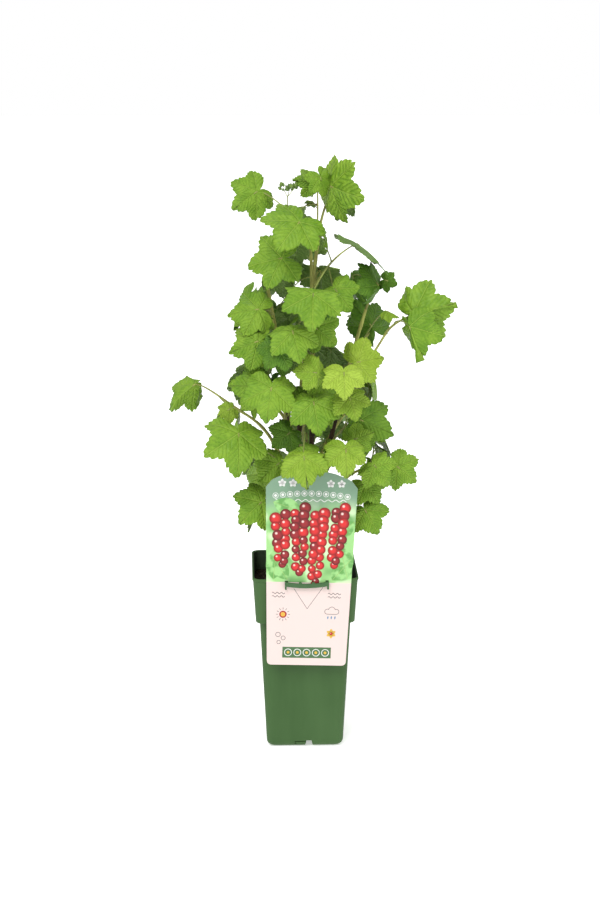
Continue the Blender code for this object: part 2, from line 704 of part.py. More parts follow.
def leaf_solid(blade, scale=1.0, thick=LEAF_THICK):
    """A lobed leaf as a thin closed solid, cupped down towards its edge."""
    tip_way, cross_way, up_way = blade_axes(blade)
    joint = Vector(blade[:3])
    edge = []
    for angle, reach in LEAF_EDGE:
        edge.append((math.radians(angle), reach))
    for angle, reach in reversed(LEAF_EDGE[1:-1]):
        edge.append((-math.radians(angle), reach))
    count = len(edge)
    points = []
    heart = LEAF_HEART * blade.length * scale
    for level in (thick / 2, -thick / 2):
        points.append(joint + tip_way * heart + up_way * (level - LEAF_CUP * heart * LEAF_HEART))
        for angle, reach in edge:
            spread = reach * blade.length * scale
            drop = LEAF_CUP * spread * reach
            points.append(joint + tip_way * (spread * math.cos(angle))
                          + cross_way * (spread * math.sin(angle)) + up_way * (level - drop))
    faces = []
    lower = count + 1
    for index in range(count):
        this = 1 + index
        after = 1 + (index + 1) % count
        faces.append((0, this, after))
        faces.append((lower, lower + after, lower + this))
        faces.append((this, lower + this, lower + after, after))
    return points, faces


def stalk_path(start, start_way, blade, steps):
    """A leaf stalk from its stem to the leaf, ending inside the blade."""
    tip_way, _, up_way = blade_axes(blade)
    joint = Vector(blade[:3])
    length = (joint - start).length
    leave = start + start_way * (length * STALK_LEAVES)
    arrive_way = (tip_way * ARRIVES_ALONG + up_way * ARRIVES_UNDER).normalized()
    arrive = joint - arrive_way * (length * STALK_ARRIVES)
    path = [cubic(start, leave, arrive, joint, step / steps) for step in range(steps + 1)]
    path.append(joint + tip_way * STALK_SINK - up_way * (LEAF_CUP * LEAF_HEART * STALK_SINK))
    return path


def seen(point):
    """Where a point shows to someone in front who looks a little down."""
    return Vector((point[0], point[2] + SIGHT_RISE * point[1]))


def blade_middle(blade):
    """The middle of a leaf's blade."""
    tip_way, _, _ = blade_axes(blade)
    return Vector(blade[:3]) + tip_way * blade.length * 0.4


def hides(blade, lead):
    """Whether a leaf would stand in front of a leading leaf."""
    middle = blade_middle(blade)
    lead_middle = blade_middle(lead)
    if middle.y > lead_middle.y + HIDES_BEHIND:
        return False
    _, _, up_way = blade_axes(blade)
    shown = blade.length * abs(up_way.y)
    return (seen(middle) - seen(lead_middle)).length < 0.5 * (shown + lead.length)


def in_crown(points):
    """Whether a leaf keeps inside the crown's outline and out of its gaps."""
    for point in points:
        x, z = seen(point)
        if point[1] > CROWN_DEPTH or not CROWN[0][0] < z < CROWN[-1][0]:
            return False
        for (low, low_left, low_right), (high, high_left, high_right) in zip(CROWN, CROWN[1:]):
            if low <= z <= high:
                share = (z - low) / (high - low)
                left = low_left + (high_left - low_left) * share
                right = low_right + (high_right - low_right) * share
                if not left < x < right:
                    return False
    middle = sum((seen(point) for point in points), Vector((0, 0))) / len(points)
    spread = max((seen(point) - middle).length for point in points)
    return all((middle - Vector(gap[:2])).length > gap[2] + 0.8 * spread for gap in GAPS)


def rule_blade(place, way, order, mass, chance):
    """One leaf of the rule: its stalk spirals round the stem and its blade turns outward."""
    angle = order * GOLDEN_ANGLE + chance.uniform(-RULE_JITTER, RULE_JITTER)
    side = way.orthogonal().normalized()
    round_way = Matrix.Rotation(angle, 3, way) @ side
    leave_way = (way * 0.5 + round_way * 0.9 + LIFT).normalized()
    joint = place + leave_way * chance.uniform(*RULE_STALK)
    face = math.degrees(math.atan2(joint.x, -joint.y)) + chance.uniform(-RULE_FACE, RULE_FACE)
    return leave_way, Blade(joint.x, joint.y, joint.z, chance.uniform(*RULE_LENGTH),
                            chance.uniform(-RULE_TURN, RULE_TURN), chance.uniform(*RULE_TILT), face)


def stalk_clear(path, blade, placed):
    """Whether a stalk touches nothing between its first stretch and its leaf."""
    joint = Vector(blade[:3])
    short = joint + (path[-3] - joint).normalized() * TEST_SHORT
    outer = [path[0].lerp(path[1], 0.45)] + path[1:-2] + [short]
    return not touches(*tube(outer, [TEST_STALK] * len(outer), STALK_SIDES), placed)


def settle(blade, placed):
    """Move a leading leaf a little back or forward, in the same line of sight, until it is clear."""
    for count in range(SETTLE_STEPS):
        for side in (1, -1):
            shift = side * count * SETTLE_STEP
            moved = blade._replace(y=blade.y + shift, z=blade.z - SIGHT_RISE * shift)
            if not touches(*leaf_solid(moved, TEST_SCALE, TEST_THICK), placed):
                return moved
    print("no clear place for a leading leaf near", blade[:3])
    return blade


def grow_stem(mass, lead, host_path, host_tree, placed):
    """The shoot's stem and leading stalk as one path, from just clear of its limb to its leaf."""
    for shift in HOST_SHIFTS:
        start, host_way = along(host_path, min(mass.share + shift, 1.0))
        aim = (Vector(lead[:3]) - start).normalized()
        for kink in KINKS:
            way = (aim + LIFT + host_way * 0.2 + Vector(kink)).normalized()
            if mass.share >= 1.0:
                way = (host_way + Vector(kink) * TIP_KINK).normalized()
            foot = seat(start, way, STEM_RADIUS, host_tree)
            path = stalk_path(foot, way, lead, STEM_STEPS)
            start_solid = tube(path[:3], [STEM_RADIUS] * 3, STEM_SIDES, way)
            if stalk_clear(path, lead, placed) and not touches(*start_solid, placed):
                return path, way
        if mass.share >= 1.0:
            break
    print("no clear way for a stem to", lead[:3])
    return path, way


def grow_side(side, stem, placed):
    """The side leaf's stalk, which leaves the stem where its way is clear, or nothing."""
    for share in SIDE_SHARES:
        place, way = along(stem, share)
        aim = (Vector(side[:3]) - place).normalized()
        for kink in KINKS:
            leave_way = (way * 0.5 + aim + LIFT + Vector(kink)).normalized()
            path = stalk_path(place, leave_way, side, STALK_STEPS)
            if stalk_clear(path, side, placed):
                return path
    print("no clear way for a stalk to", side[:3])
    return None


def grow(limbs, placed):
    """Grow every mass: first leading leaves, then stems and stalks, then the leaves of the rule."""
    settled = {}
    for name, mass in MASSES.items():
        lead = settle(mass.lead, placed)
        placed.append(obstacle(*leaf_solid(lead)))
        side = settle(mass.side, placed)
        side_place = obstacle(*leaf_solid(side))
        placed.append(side_place)
        settled[name] = (lead, side, side_place)
    grown = {}
    for name, mass in MASSES.items():
        lead, side, side_place = settled[name]
        host_path, host_tree = limbs[mass.host]
        stem, foot_way = grow_stem(mass, lead, host_path, host_tree, placed)
        count = len(stem)
        taper = [min(1, 1.4 * step / count) for step in range(count)]
        radii = [STEM_RADIUS + (STALK_RADIUS - STEM_RADIUS) * share for share in taper]
        pieces = [tube(stem, radii, STEM_SIDES, foot_way), leaf_solid(lead)]
        blades = [lead]
        placed.append(obstacle(*pieces[0]))
        stalk = grow_side(side, stem, placed)
        if stalk:
            pieces += [tube(stalk, [STALK_RADIUS] * len(stalk), STALK_SIDES), leaf_solid(side)]
            blades.append(side)
            placed.append(obstacle(*pieces[2]))
        else:
            placed[:] = [item for item in placed if item is not side_place]
        grown[name] = (stem, pieces, blades)
    leads = [blade for _, _, blades in grown.values() for blade in blades]
    for name, mass in MASSES.items():
        stem, pieces, blades = grown[name]
        chance = random.Random(mass.seed)
        centre, _ = along(stem, 0.6)
        for order in range(mass.count):
            low, high = RULE_STRETCH
            place, way = along(stem, low + (high - low) * (order + 0.5) / mass.count)
            for _ in range(TRIES):
                leave_way, blade = rule_blade(place, way, order, mass, chance)
                if (blade_middle(blade) - centre).length + 0.5 * blade.length > mass.reach:
                    continue
                if not in_crown(leaf_solid(blade)[0]):
                    continue
                if mass.lead.y < FRONT_DEPTH and any(hides(blade, lead) for lead in leads):
                    continue
                if touches(*leaf_solid(blade, TEST_SCALE, TEST_THICK), placed):
                    continue
                stalk = stalk_path(place, leave_way, blade, STALK_STEPS)
                if not stalk_clear(stalk, blade, placed):
                    continue
                fresh = [tube(stalk, [STALK_RADIUS] * len(stalk), STALK_SIDES), leaf_solid(blade)]
                pieces += fresh
                blades.append(blade)
                placed += [obstacle(*piece) for piece in fresh]
                break
    return grown


def main():
    """Build the pot, the label and the plant."""
    clear_scene()
    pot_green = make_material("pot_green", (0.072, 0.148, 0.050), 0.55)
    earth = make_material("earth", (0.040, 0.024, 0.016), 0.95)
    card = make_material("card", (0.900, 0.760, 0.720), 0.45)
    bark = make_material("bark", (0.110, 0.065, 0.035), 0.85)
    leaf_green = make_material("leaf_green", (0.180, 0.330, 0.040), 0.55)

    pot = make_pot(pot_green)
    soil = make_soil(earth)
    label = make_label(card)
    clip = make_clip(pot_green)
    bpy.context.view_layer.update()
    placed = []
    for item in (pot, soil, label, clip):
        points = [vert.co for vert in item.data.vertices]
        placed.append(obstacle(points, [tuple(face.vertices) for face in item.data.polygons]))

    limbs = {}
    for name, limb in CANES.items():
        path = limb_path(limb)
        radii = limb_radii(limb.foot_radius, limb.tip_radius, limb.flare)
        solid = tube(path, radii, LIMB_SIDES, Vector((0, 0, 1)))
        face_out(make_object(name, *solid, bark))
        limbs[name] = (path, tree_of(*solid))
        placed.append(obstacle(*solid))
    for name, bough in BOUGHS.items():
        host_path, host_tree = limbs[bough.cane]
        start, host_way = along(host_path, bough.share)
        way = ((Vector(bough.tip) - start).normalized() + host_way * 0.3).normalized()
        foot = seat(start, way, bough.foot_radius, host_tree)
        path = [bend(foot, Vector(bough.tip), Vector(bough.bow), step / LIMB_STEPS)
                for step in range(LIMB_STEPS + 1)]
        solid = tube(path, limb_radii(bough.foot_radius, bough.tip_radius, 1.0), BOUGH_SIDES, way)
        face_out(make_object(name, *solid, bark))
        limbs[name] = (path, tree_of(*solid))
        placed.append(obstacle(*solid))

    grown = grow(limbs, placed)
    for name, (_, pieces, _) in grown.items():
        solids = [make_object(name + "_piece", *piece, leaf_green) for piece in pieces]
        fuse("leaves_" + name, solids)


main()
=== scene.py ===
# %% [markdown]
# # A currant bush in a nursery pot
#
# This lesson dresses a plain model of a young currant bush. The plain model already has the
# right sizes: four canes in a square pot, shoots of lobed leaves and a hanging label. Here each
# surface gets the shape and finish of the real thing. All lengths are metres.

# %% Load the frame
import random
from collections import namedtuple
from math import atan2, copysign, cos, degrees, dist, hypot, pi, radians, sin, tau

import bpy
from mathutils import Matrix, Vector, noise
from mathutils.bvhtree import BVHTree


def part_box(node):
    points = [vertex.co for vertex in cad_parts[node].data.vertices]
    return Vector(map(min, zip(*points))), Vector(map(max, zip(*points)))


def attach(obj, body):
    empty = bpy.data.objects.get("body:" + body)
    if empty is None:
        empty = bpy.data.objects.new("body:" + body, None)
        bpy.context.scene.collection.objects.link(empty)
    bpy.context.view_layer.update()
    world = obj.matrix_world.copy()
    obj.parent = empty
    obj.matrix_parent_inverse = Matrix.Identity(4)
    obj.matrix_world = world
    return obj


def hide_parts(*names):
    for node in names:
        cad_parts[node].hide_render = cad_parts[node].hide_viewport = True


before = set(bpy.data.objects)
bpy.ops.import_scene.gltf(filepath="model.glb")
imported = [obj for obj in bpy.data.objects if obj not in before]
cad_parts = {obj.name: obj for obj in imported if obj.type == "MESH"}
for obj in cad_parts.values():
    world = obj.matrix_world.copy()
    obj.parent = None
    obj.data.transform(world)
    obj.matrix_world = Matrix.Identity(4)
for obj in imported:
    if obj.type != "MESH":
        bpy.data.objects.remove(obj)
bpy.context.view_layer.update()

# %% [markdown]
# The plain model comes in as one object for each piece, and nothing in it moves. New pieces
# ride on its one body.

BODY = "root"
CLEAR = 0.0003

# %% [markdown]
# ## Small helpers
#
# Blender's operators act on all that is selected, as by hand in the window. So every piece starts
# with nothing selected, and a few helpers select, shade and finish it. Small shapes that come by
# the hundred could be objects that are joined in the end. It is much faster to collect their
# points and faces in one list and to make one mesh from that.

# %% Helpers for modelling
def set_mode(mode):
    """Go into edit mode or back to object mode."""
    bpy.ops.object.mode_set(mode=mode)


def deselect():
    """Leave edit mode and select nothing."""
    if bpy.context.object and bpy.context.object.mode != "OBJECT":
        set_mode("OBJECT")
    bpy.ops.object.select_all(action="DESELECT")


def take(item):
    """Select one object and make it the active one."""
    deselect()
    item.select_set(True)
    bpy.context.view_layer.objects.active = item


def settle_place(item):
    """Put the object's place into its mesh, so that patterns stay put."""
    take(item)
    bpy.ops.object.transform_apply(location=True, rotation=True, scale=True)


def select_mesh(how="SELECT"):
    """Select all of the mesh in edit mode, or nothing."""
    bpy.ops.mesh.select_all(action=how)


def face_out():
    """Turn every face to point out, and leave edit mode."""
    select_mesh()
    bpy.ops.mesh.normals_make_consistent(inside=False)
    set_mode("OBJECT")


def apply_all(item):
    """Apply every modifier in order."""
    take(item)
    for modifier in list(item.modifiers):
        bpy.ops.object.modifier_apply(modifier=modifier.name)


def smooth_edges(item, angle):
    """Shade a piece smooth but for edges sharper than some degrees."""
    take(item)
    bpy.ops.object.shade_smooth_by_angle(angle=radians(angle))


def lift_shape(item):
    """The points and faces of a small shape, which itself is taken away."""
    points = [vert.co.copy() for vert in item.data.vertices]
    faces = [tuple(face.vertices) for face in item.data.polygons]
    bpy.data.objects.remove(item, do_unlink=True)
    return points, faces


def add_object(name, data):
    """A new object in the scene."""
    item = bpy.data.objects.new(name, data)
    bpy.context.scene.collection.objects.link(item)
    return item


def gather(name, parts, materials, smooth=True, flat_map=None):
    """One mesh object from many small shapes: points, faces and, last, the slot of each."""
    points = []
    faces = []
    slots = []
    for part in parts:
        start = len(points)
        points += part[0]
        faces += [tuple(start + index for index in face) for face in part[1]]
        slots += [part[-1]] * len(part[1])
    mesh = bpy.data.meshes.new(name)
    mesh.from_pydata([tuple(point) for point in points], [], faces)
    mesh.polygons.foreach_set("material_index", slots)
    for material in materials:
        mesh.materials.append(material)
    if smooth:
        mesh.shade_smooth()
    item = add_object(name, mesh)
    if flat_map:
        flat = [place for part in parts for place in part[2]]
        layer = mesh.uv_layers.new(name=flat_map)
        layer.data.foreach_set("uv", [number for loop in mesh.loops for number in flat[loop.vertex_index]])
    return item


def thicken(item, thickness, material_offset=0):
    """Give a sheet its thickness, downward from its face."""
    layer = item.modifiers.new("thickness", "SOLIDIFY")
    layer.thickness = thickness
    layer.offset = -1
    layer.material_offset = material_offset
    apply_all(item)


def finish_piece(item, slot, *nodes):
    """Let a piece ride on the bush in place of plain nodes; the slot is not used."""
    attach(item, BODY)
    if nodes:
        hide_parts(*nodes)
    print(item.name, "triangles:", sum(len(face.vertices) - 2 for face in item.data.polygons))


# %% [markdown]
# ## The camera
#
# The lens looks down a little on the bush from two metres away. A place and three angles could be
# typed in. A distance, a turn and a height angle round a point in the bush's middle are easier to
# think in, and the lens then always faces that point.

# %% Camera
VIEW_DISTANCE = 1.967
VIEW_TURN = radians(-1.858)
VIEW_RISE = radians(12.98)
VIEW_TARGET = Vector((-0.0045, 0.0, 0.343))

back_way = Vector((sin(VIEW_TURN) * cos(VIEW_RISE), -cos(VIEW_TURN) * cos(VIEW_RISE), sin(VIEW_RISE)))
lens = bpy.data.cameras.new("camera")
lens.lens = 69.1
lens.sensor_width = 36.0
camera = add_object("camera", lens)
camera.location = VIEW_TARGET + back_way * VIEW_DISTANCE
camera.rotation_euler = back_way.to_track_quat("Z", "Y").to_euler()
bpy.context.scene.camera = camera
print("camera:", [round(part, 3) for part in camera.location])

# %% [markdown]
# ## Writing a finish as maths
#
# A finish is a small network of shader nodes. It could be wired one node and one link at a time,
# which takes a line for each. This class wraps one socket instead, so that plus, minus and times
# make the Math nodes, and every other node comes from one method. A finish then reads as a sum.

# %% The Paint class
class Paint:
    """One socket of a finish, which takes part in plain maths."""

    def __init__(self, tree, link=None):
        self.tree = tree
        self.link = link

    def node(self, kind, settings=None, inputs=None, out=0):
        """Any node: its settings first, then the values or links of its sockets."""
        made = self.tree.nodes.new(kind)
        for key, value in (settings or {}).items():
            setattr(made, key, value)
        for key, value in (inputs or {}).items():
            if isinstance(value, Paint):
                self.tree.links.new(value.link, made.inputs[key])
            else:
                made.inputs[key].default_value = value
        return Paint(self.tree, made.outputs[out])

    def math(self, operation, *others):
        """A Math node on this socket and the others."""
        return self.node("ShaderNodeMath", {"operation": operation}, dict(enumerate((self, *others))))

    def __add__(self, other):
        return self.math("ADD", other)

    def __sub__(self, other):
        return self.math("SUBTRACT", other)

    def __rsub__(self, other):
        return self.node("ShaderNodeMath", {"operation": "SUBTRACT"}, {0: other, 1: self})

    def __mul__(self, other):
        return self.math("MULTIPLY", other)

    __radd__ = __add__
    __rmul__ = __mul__

    def ramp(self, low, high, first=0.0, last=1.0):
        """A smooth step from first to last as this goes from low to high."""
        return self.node("ShaderNodeMapRange", {"interpolation_type": "SMOOTHSTEP"},
                         {0: self, 1: low, 2: high, 3: first, 4: last})

    def tint(self, first, last):
        """A colour between two, by this mask."""
        first, last = [colour if isinstance(colour, Paint) else (*colour, 1) for colour in (first, last)]
        return self.node("ShaderNodeMix", {"data_type": "RGBA"}, {0: self, 6: first, 7: last}, 2)

    def noise(self, scale, detail=3.0, rough=0.5):
        """Soft noise read at this place."""
        return self.node("ShaderNodeTexNoise", None,
                         {"Vector": self, "Scale": scale, "Detail": detail, "Roughness": rough})

    def stretched(self, *scales):
        """This place with each axis scaled."""
        return self.node("ShaderNodeMapping", None, {"Vector": self, "Scale": scales})

    def axes(self):
        """The three numbers of this place."""
        made = self.node("ShaderNodeSeparateXYZ", None, {0: self}).link.node
        return [Paint(self.tree, made.outputs[index]) for index in range(3)]

    def bump(self, strength, distance):
        """A relief from this height."""
        return self.node("ShaderNodeBump", None, {"Strength": strength, "Distance": distance, "Height": self})


def finish(name, colour, roughness, specular=0.4):
    """A Principled material, and the place on the piece that its patterns read."""
    material = bpy.data.materials.new(name)
    material.use_nodes = True
    shader = material.node_tree.nodes["Principled BSDF"]
    shader.inputs["Base Color"].default_value = (*colour, 1)
    shader.inputs["Roughness"].default_value = roughness
    shader.inputs["Specular IOR Level"].default_value = specular
    return material, shader, Paint(material.node_tree).node("ShaderNodeTexCoord", out=3)


def wire(shader, **links):
    """Link paints to the shader's sockets; an underscore stands for a space."""
    for name, paint in links.items():
        paint.tree.links.new(paint.link, shader.inputs[name.replace("_", " ")])


def scaled(colour, share):
    """A colour made darker or paler by a share."""
    return tuple(share * part for part in colour)


# %% [markdown]
# ## Light and floor
#
# The bush stands on a pale floor in soft studio light. Area lamps could give it, but they light
# what is near more than what is far. Wide far lamps light crown and pot alike: a strong one high
# on the left, and weaker ones on the right and behind. An even pale world, which the lens sees as
# white, fills the shadows.

# %% Floor and lamps
FLOOR_SIZE = 40.0
FLOOR_GLOW = 0.48
WORLD_GLOW = 0.36
WHITE = (1, 1, 1, 1)
# Each far lamp: its turn round the bush and its height in degrees, its strength and its width.
SUNS = {"key_sun": (-28, 52, 1.9, 30), "fill_sun": (50, 35, 0.7, 50), "back_sun": (170, 60, 0.6, 40)}

deselect()
bpy.ops.mesh.primitive_plane_add(size=FLOOR_SIZE, location=(0, 0, -0.0002))
floor = bpy.context.object
floor.name = "floor"
floor_paint, floor_shader, _ = finish("floor_paint", (0.95, 0.95, 0.94), 0.9, 0.1)
floor_shader.inputs["Emission Color"].default_value = WHITE
floor_shader.inputs["Emission Strength"].default_value = FLOOR_GLOW
floor.data.materials.append(floor_paint)

for name, (turn, rise, strength, spread) in SUNS.items():
    lamp = bpy.data.lights.new(name, "SUN")
    lamp.energy = strength
    lamp.angle = radians(spread)
    add_object(name, lamp).rotation_euler = (radians(90 - rise), 0, radians(turn))

world = bpy.data.worlds.new("studio")
world.use_nodes = True
bpy.context.scene.world = world
glow = world.node_tree.nodes["Background"]
glow.inputs["Color"].default_value = WHITE
seen_by_lens = Paint(world.node_tree).node("ShaderNodeLightPath")
world.node_tree.links.new(seen_by_lens.ramp(0, 1, WORLD_GLOW, 1.0).link, glow.inputs["Strength"])
bpy.context.scene.view_settings.view_transform = "Standard"
print("lamps:", ", ".join(SUNS))

# %% [markdown]
# ## The pot
#
# A nursery pot is moulded in one piece from recycled plastic, matt and slightly streaky. It is a
# square with round corners that widens upward, with a collar at the top. It stands on a low ring, and
# a notch for drainage with a moulded tab beside it is cut in each side of that ring. A bevelled
# cube with a Solidify would give walls, but no rounded lip and no floor above the ring. So the
# shell is drawn up ring by ring from a flat square, over the rim and down inside again, and then
# cut with blocks.

# %% Pot sizes from the frame
_, POT_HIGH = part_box("pot")
RIM_HALF = POT_HIGH.x
POT_HEIGHT = POT_HIGH.z
RIM_LIP = 0.0035
WALL = 0.0015
FLOOR_THICK = 0.0022
BASE_HALF = 0.0443
BASE_ROUND = 0.0085
BASE_STEPS = 5
BODY_HALF = 0.0518
COLLAR_FOOT = 0.1545
COLLAR_LOW = 0.0562
COLLAR_HIGH = 0.0592
SHOULDER = 0.0008
CORNER = 0.0054
CORNER_STEPS = 8
DRAIN_OFFSET = 0.0045
DRAIN_WIDTH = 0.0098
DRAIN_HEIGHT = 0.0082
DRAIN_REACH = 0.0125
DRAIN_NARROW = 0.60
TAB_LEFT = -0.0108
TAB_TOP = 0.0074
GROOVE_WIDTH = 0.0009
GROOVE_REACH = 0.0030
RECESS_HALF = 0.0330
RECESS_DEEP = 0.0080

print("pot half width and height:", round(RIM_HALF, 4), round(POT_HEIGHT, 4))
lip = POT_HEIGHT - RIM_LIP
FLOOR_TOP = RECESS_DEEP + FLOOR_THICK
foot_angles = [step * pi / 2 / BASE_STEPS for step in range(BASE_STEPS + 1)]
POT_PROFILE = [(BASE_HALF - BASE_ROUND * (1 - sin(angle)), BASE_ROUND * (1 - cos(angle)))
               for angle in foot_angles]
POT_PROFILE += [
    (BODY_HALF - 0.0002, COLLAR_FOOT - SHOULDER - 0.0012), (BODY_HALF, COLLAR_FOOT - SHOULDER),
    (COLLAR_LOW - 0.0006, COLLAR_FOOT - 0.0002), (COLLAR_LOW, COLLAR_FOOT + 0.0006),
    (COLLAR_HIGH, lip - 0.0004), (RIM_HALF, lip + 0.0004), (RIM_HALF, POT_HEIGHT - 0.0009),
    (RIM_HALF - 0.0004, POT_HEIGHT - 0.0002), (RIM_HALF - 0.0010, POT_HEIGHT),
    (COLLAR_HIGH - WALL + 0.0004, POT_HEIGHT - 0.0003), (COLLAR_HIGH - WALL, POT_HEIGHT - 0.0010),
    (COLLAR_LOW - WALL, COLLAR_FOOT + 0.001), (BODY_HALF - WALL, COLLAR_FOOT - SHOULDER),
    (BASE_HALF - WALL, FLOOR_TOP + FLOOR_THICK), (BASE_HALF - WALL - FLOOR_THICK, FLOOR_TOP),
]


# %% Draw the pot up
def draw_up(name, profile, corner):
    """Extrude a round-cornered square ring by ring along a profile of half widths and heights."""
    deselect()
    half, height = profile[0]
    bpy.ops.mesh.primitive_plane_add(size=2 * half, location=(0, 0, height))
    item = bpy.context.object
    item.name = name
    settle_place(item)
    set_mode("EDIT")
    select_mesh()
    bpy.ops.mesh.bevel(offset=corner, offset_type="OFFSET", segments=CORNER_STEPS, affect="VERTICES")
    for (old_half, old_height), (new_half, new_height) in zip(profile, profile[1:]):
        bpy.ops.mesh.extrude_region_move(TRANSFORM_OT_translate={"value": (0, 0, new_height - old_height)})
        scale = new_half / old_half
        bpy.ops.transform.resize(value=(scale, scale, 1), center_override=(0, 0, new_height))
    select_mesh("DESELECT")
    bpy.ops.mesh.select_mode(type="EDGE")
    bpy.ops.mesh.select_non_manifold(extend=False, use_wire=False, use_multi_face=False,
                                     use_non_contiguous=False, use_verts=False)
    bpy.ops.mesh.edge_face_add()
    face_out()
    return item


def cut_away(low, high, sides=4, narrow=1.0):
    """Cut a block out of so many sides of the pot, narrower at its top by a share."""
    low, high = Vector(low), Vector(high)
    deselect()
    blocks = []
    for quarter in range(sides):
        middle = Matrix.Rotation(quarter * pi / 2, 3, "Z") @ ((low + high) / 2)
        bpy.ops.mesh.primitive_cube_add(size=1, location=middle, rotation=(0, 0, quarter * pi / 2))
        block = bpy.context.object
        block.scale = high - low
        for vert in block.data.vertices:
            if vert.co.z > 0:
                vert.co.x *= narrow
        settle_place(block)
        blocks.append(block)
    take(blocks[0])
    for block in blocks:
        block.select_set(True)
    if sides > 1:
        bpy.ops.object.join()
    cut = pot.modifiers.new("cut", "BOOLEAN")
    cut.object = blocks[0]
    apply_all(pot)
    bpy.data.objects.remove(blocks[0], do_unlink=True)


pot = draw_up("pot_shell", POT_PROFILE, CORNER)
front = -BASE_HALF - 2 * WALL
groove_back = -BASE_HALF + GROOVE_REACH
cut_away((-RECESS_HALF, -RECESS_HALF, -WALL), (RECESS_HALF, RECESS_HALF, RECESS_DEEP), 1)
cut_away((DRAIN_OFFSET - DRAIN_WIDTH / 2, front, -WALL),
         (DRAIN_OFFSET + DRAIN_WIDTH / 2, -BASE_HALF + DRAIN_REACH, DRAIN_HEIGHT), narrow=DRAIN_NARROW)
cut_away((TAB_LEFT, front, TAB_TOP - GROOVE_WIDTH), (DRAIN_OFFSET, groove_back, TAB_TOP))
cut_away((TAB_LEFT - GROOVE_WIDTH, front, GROOVE_WIDTH), (TAB_LEFT, groove_back, TAB_TOP))
smooth_edges(pot, 32)
print("pot faces:", len(pot.data.polygons))

# %% [markdown]
# Recycled green plastic is matt, with faint upright flow marks and fine dust in its grain. They
# could be painted on as a picture, but noise has no seams and fits any size. Noise that is
# stretched upward gives the marks, and finer noise gives the grain. The inner wall gets a darker
# finish, which is painted shade for the dim inside of the pot.

# %% Plastic
POT_GREEN = ((0.032, 0.088, 0.018), (0.050, 0.118, 0.031))
# Colours of the inner wall: painted shade for the dim inside of the pot.
POT_INNER_SHADE = ((0.012, 0.024, 0.010), (0.030, 0.052, 0.022))


def make_moulded(name, dark, pale):
    """Matt moulded plastic with flow marks and dust."""
    material, shader, place = finish(name, dark, 0.62, 0.35)
    marks = place.stretched(60, 60, 7).noise(1.0, 3.0)
    dust = place.noise(900.0, 2.0, 0.7)
    mix = (marks * 0.45 + place.noise(14.0, 2.0) * 0.4 + dust * 0.25).ramp(0.30, 0.78)
    wire(shader, Base_Color=mix.tint(dark, pale), Roughness=dust.ramp(0.2, 0.8, 0.52, 0.72),
         Normal=(dust * 0.6 + marks * 0.4).bump(0.12, 0.0006))
    return material


pot.data.materials.append(make_moulded("moulded_plastic", *POT_GREEN))
pot.data.materials.append(make_moulded("inner_wall_painted_shade", *POT_INNER_SHADE))
# Faces turned inward between the floor and the rim get the painted shade of the inner wall.
for face in pot.data.polygons:
    turned_in = face.normal.dot(Vector((face.center.x, face.center.y, 0))) < -0.004
    face.material_index = int(turned_in and FLOOR_TOP < face.center.z < POT_HEIGHT - 0.0012)
finish_piece(pot, "pot_green", "pot")

# %% [markdown]
# ## The compost
#
# Compost is a dark crumbly mix with bits of bark in red and brown. A flat lid with a bump would do
# from far off, but seen from above its edge would look cut. So a fine grid is lifted by noise and
# closed below, and a few hundred small chips lie on it, all copies of one bevelled cube.

# %% Compost bed
_, SOIL_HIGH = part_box("soil")
SOIL_HALF = 0.0563
SOIL_CORNER = 0.0072
SOIL_STEPS = 72
SOIL_ROUGH = 0.0022
SOIL_DEPTH = 0.020


def soil_height(x, y):
    """Height of the crumbly top at a place, lower near the wall."""
    coarse = noise.noise(Vector((x * 60, y * 60, 3.1)))
    fine = noise.noise(Vector((x * 260, y * 260, 7.7)))
    rim = max(abs(x), abs(y)) / SOIL_HALF
    return SOIL_HIGH.z - 0.0012 + SOIL_ROUGH * (0.8 * coarse + 0.6 * fine) - 0.0015 * rim ** 6


def round_in(x, y, half, corner):
    """Pull a place in a square's corner back to its rounding."""
    across = abs(x) - (half - corner)
    beside = abs(y) - (half - corner)
    reach = hypot(across, beside)
    if across > 0 and beside > 0 and reach > corner:
        x = copysign(half - corner + across * corner / reach, x)
        y = copysign(half - corner + beside * corner / reach, y)
    return x, y


deselect()
bpy.ops.mesh.primitive_grid_add(x_subdivisions=SOIL_STEPS, y_subdivisions=SOIL_STEPS, size=2 * SOIL_HALF)
soil = bpy.context.object
soil.name = "compost"
for vert in soil.data.vertices:
    x, y = round_in(vert.co.x, vert.co.y, SOIL_HALF, SOIL_CORNER)
    vert.co = (x, y, soil_height(x, y))
set_mode("EDIT")
select_mesh("DESELECT")
bpy.ops.mesh.select_mode(type="EDGE")
bpy.ops.mesh.select_non_manifold(extend=False)
bpy.ops.mesh.extrude_region_move(TRANSFORM_OT_translate={"value": (0, 0, -SOIL_DEPTH)})
bpy.ops.transform.resize(value=(0.98, 0.98, 0), center_override=(0, 0, SOIL_HIGH.z - SOIL_DEPTH))
bpy.ops.mesh.edge_face_add()
face_out()
soil.data.shade_smooth()
print("compost points:", len(soil.data.vertices))

# %% Compost chips
CHIP_COUNT = 420
CHIP_SEED = 11
CHIP_LENGTH = (0.0018, 0.0060)
CHIP_HALF = SOIL_HALF - 0.003
chip_chance = random.Random(CHIP_SEED)
deselect()
bpy.ops.mesh.primitive_cube_add(size=1)
set_mode("EDIT")
bpy.ops.mesh.bevel(offset=0.22, segments=1)
set_mode("OBJECT")
chip_points, chip_faces = lift_shape(bpy.context.object)


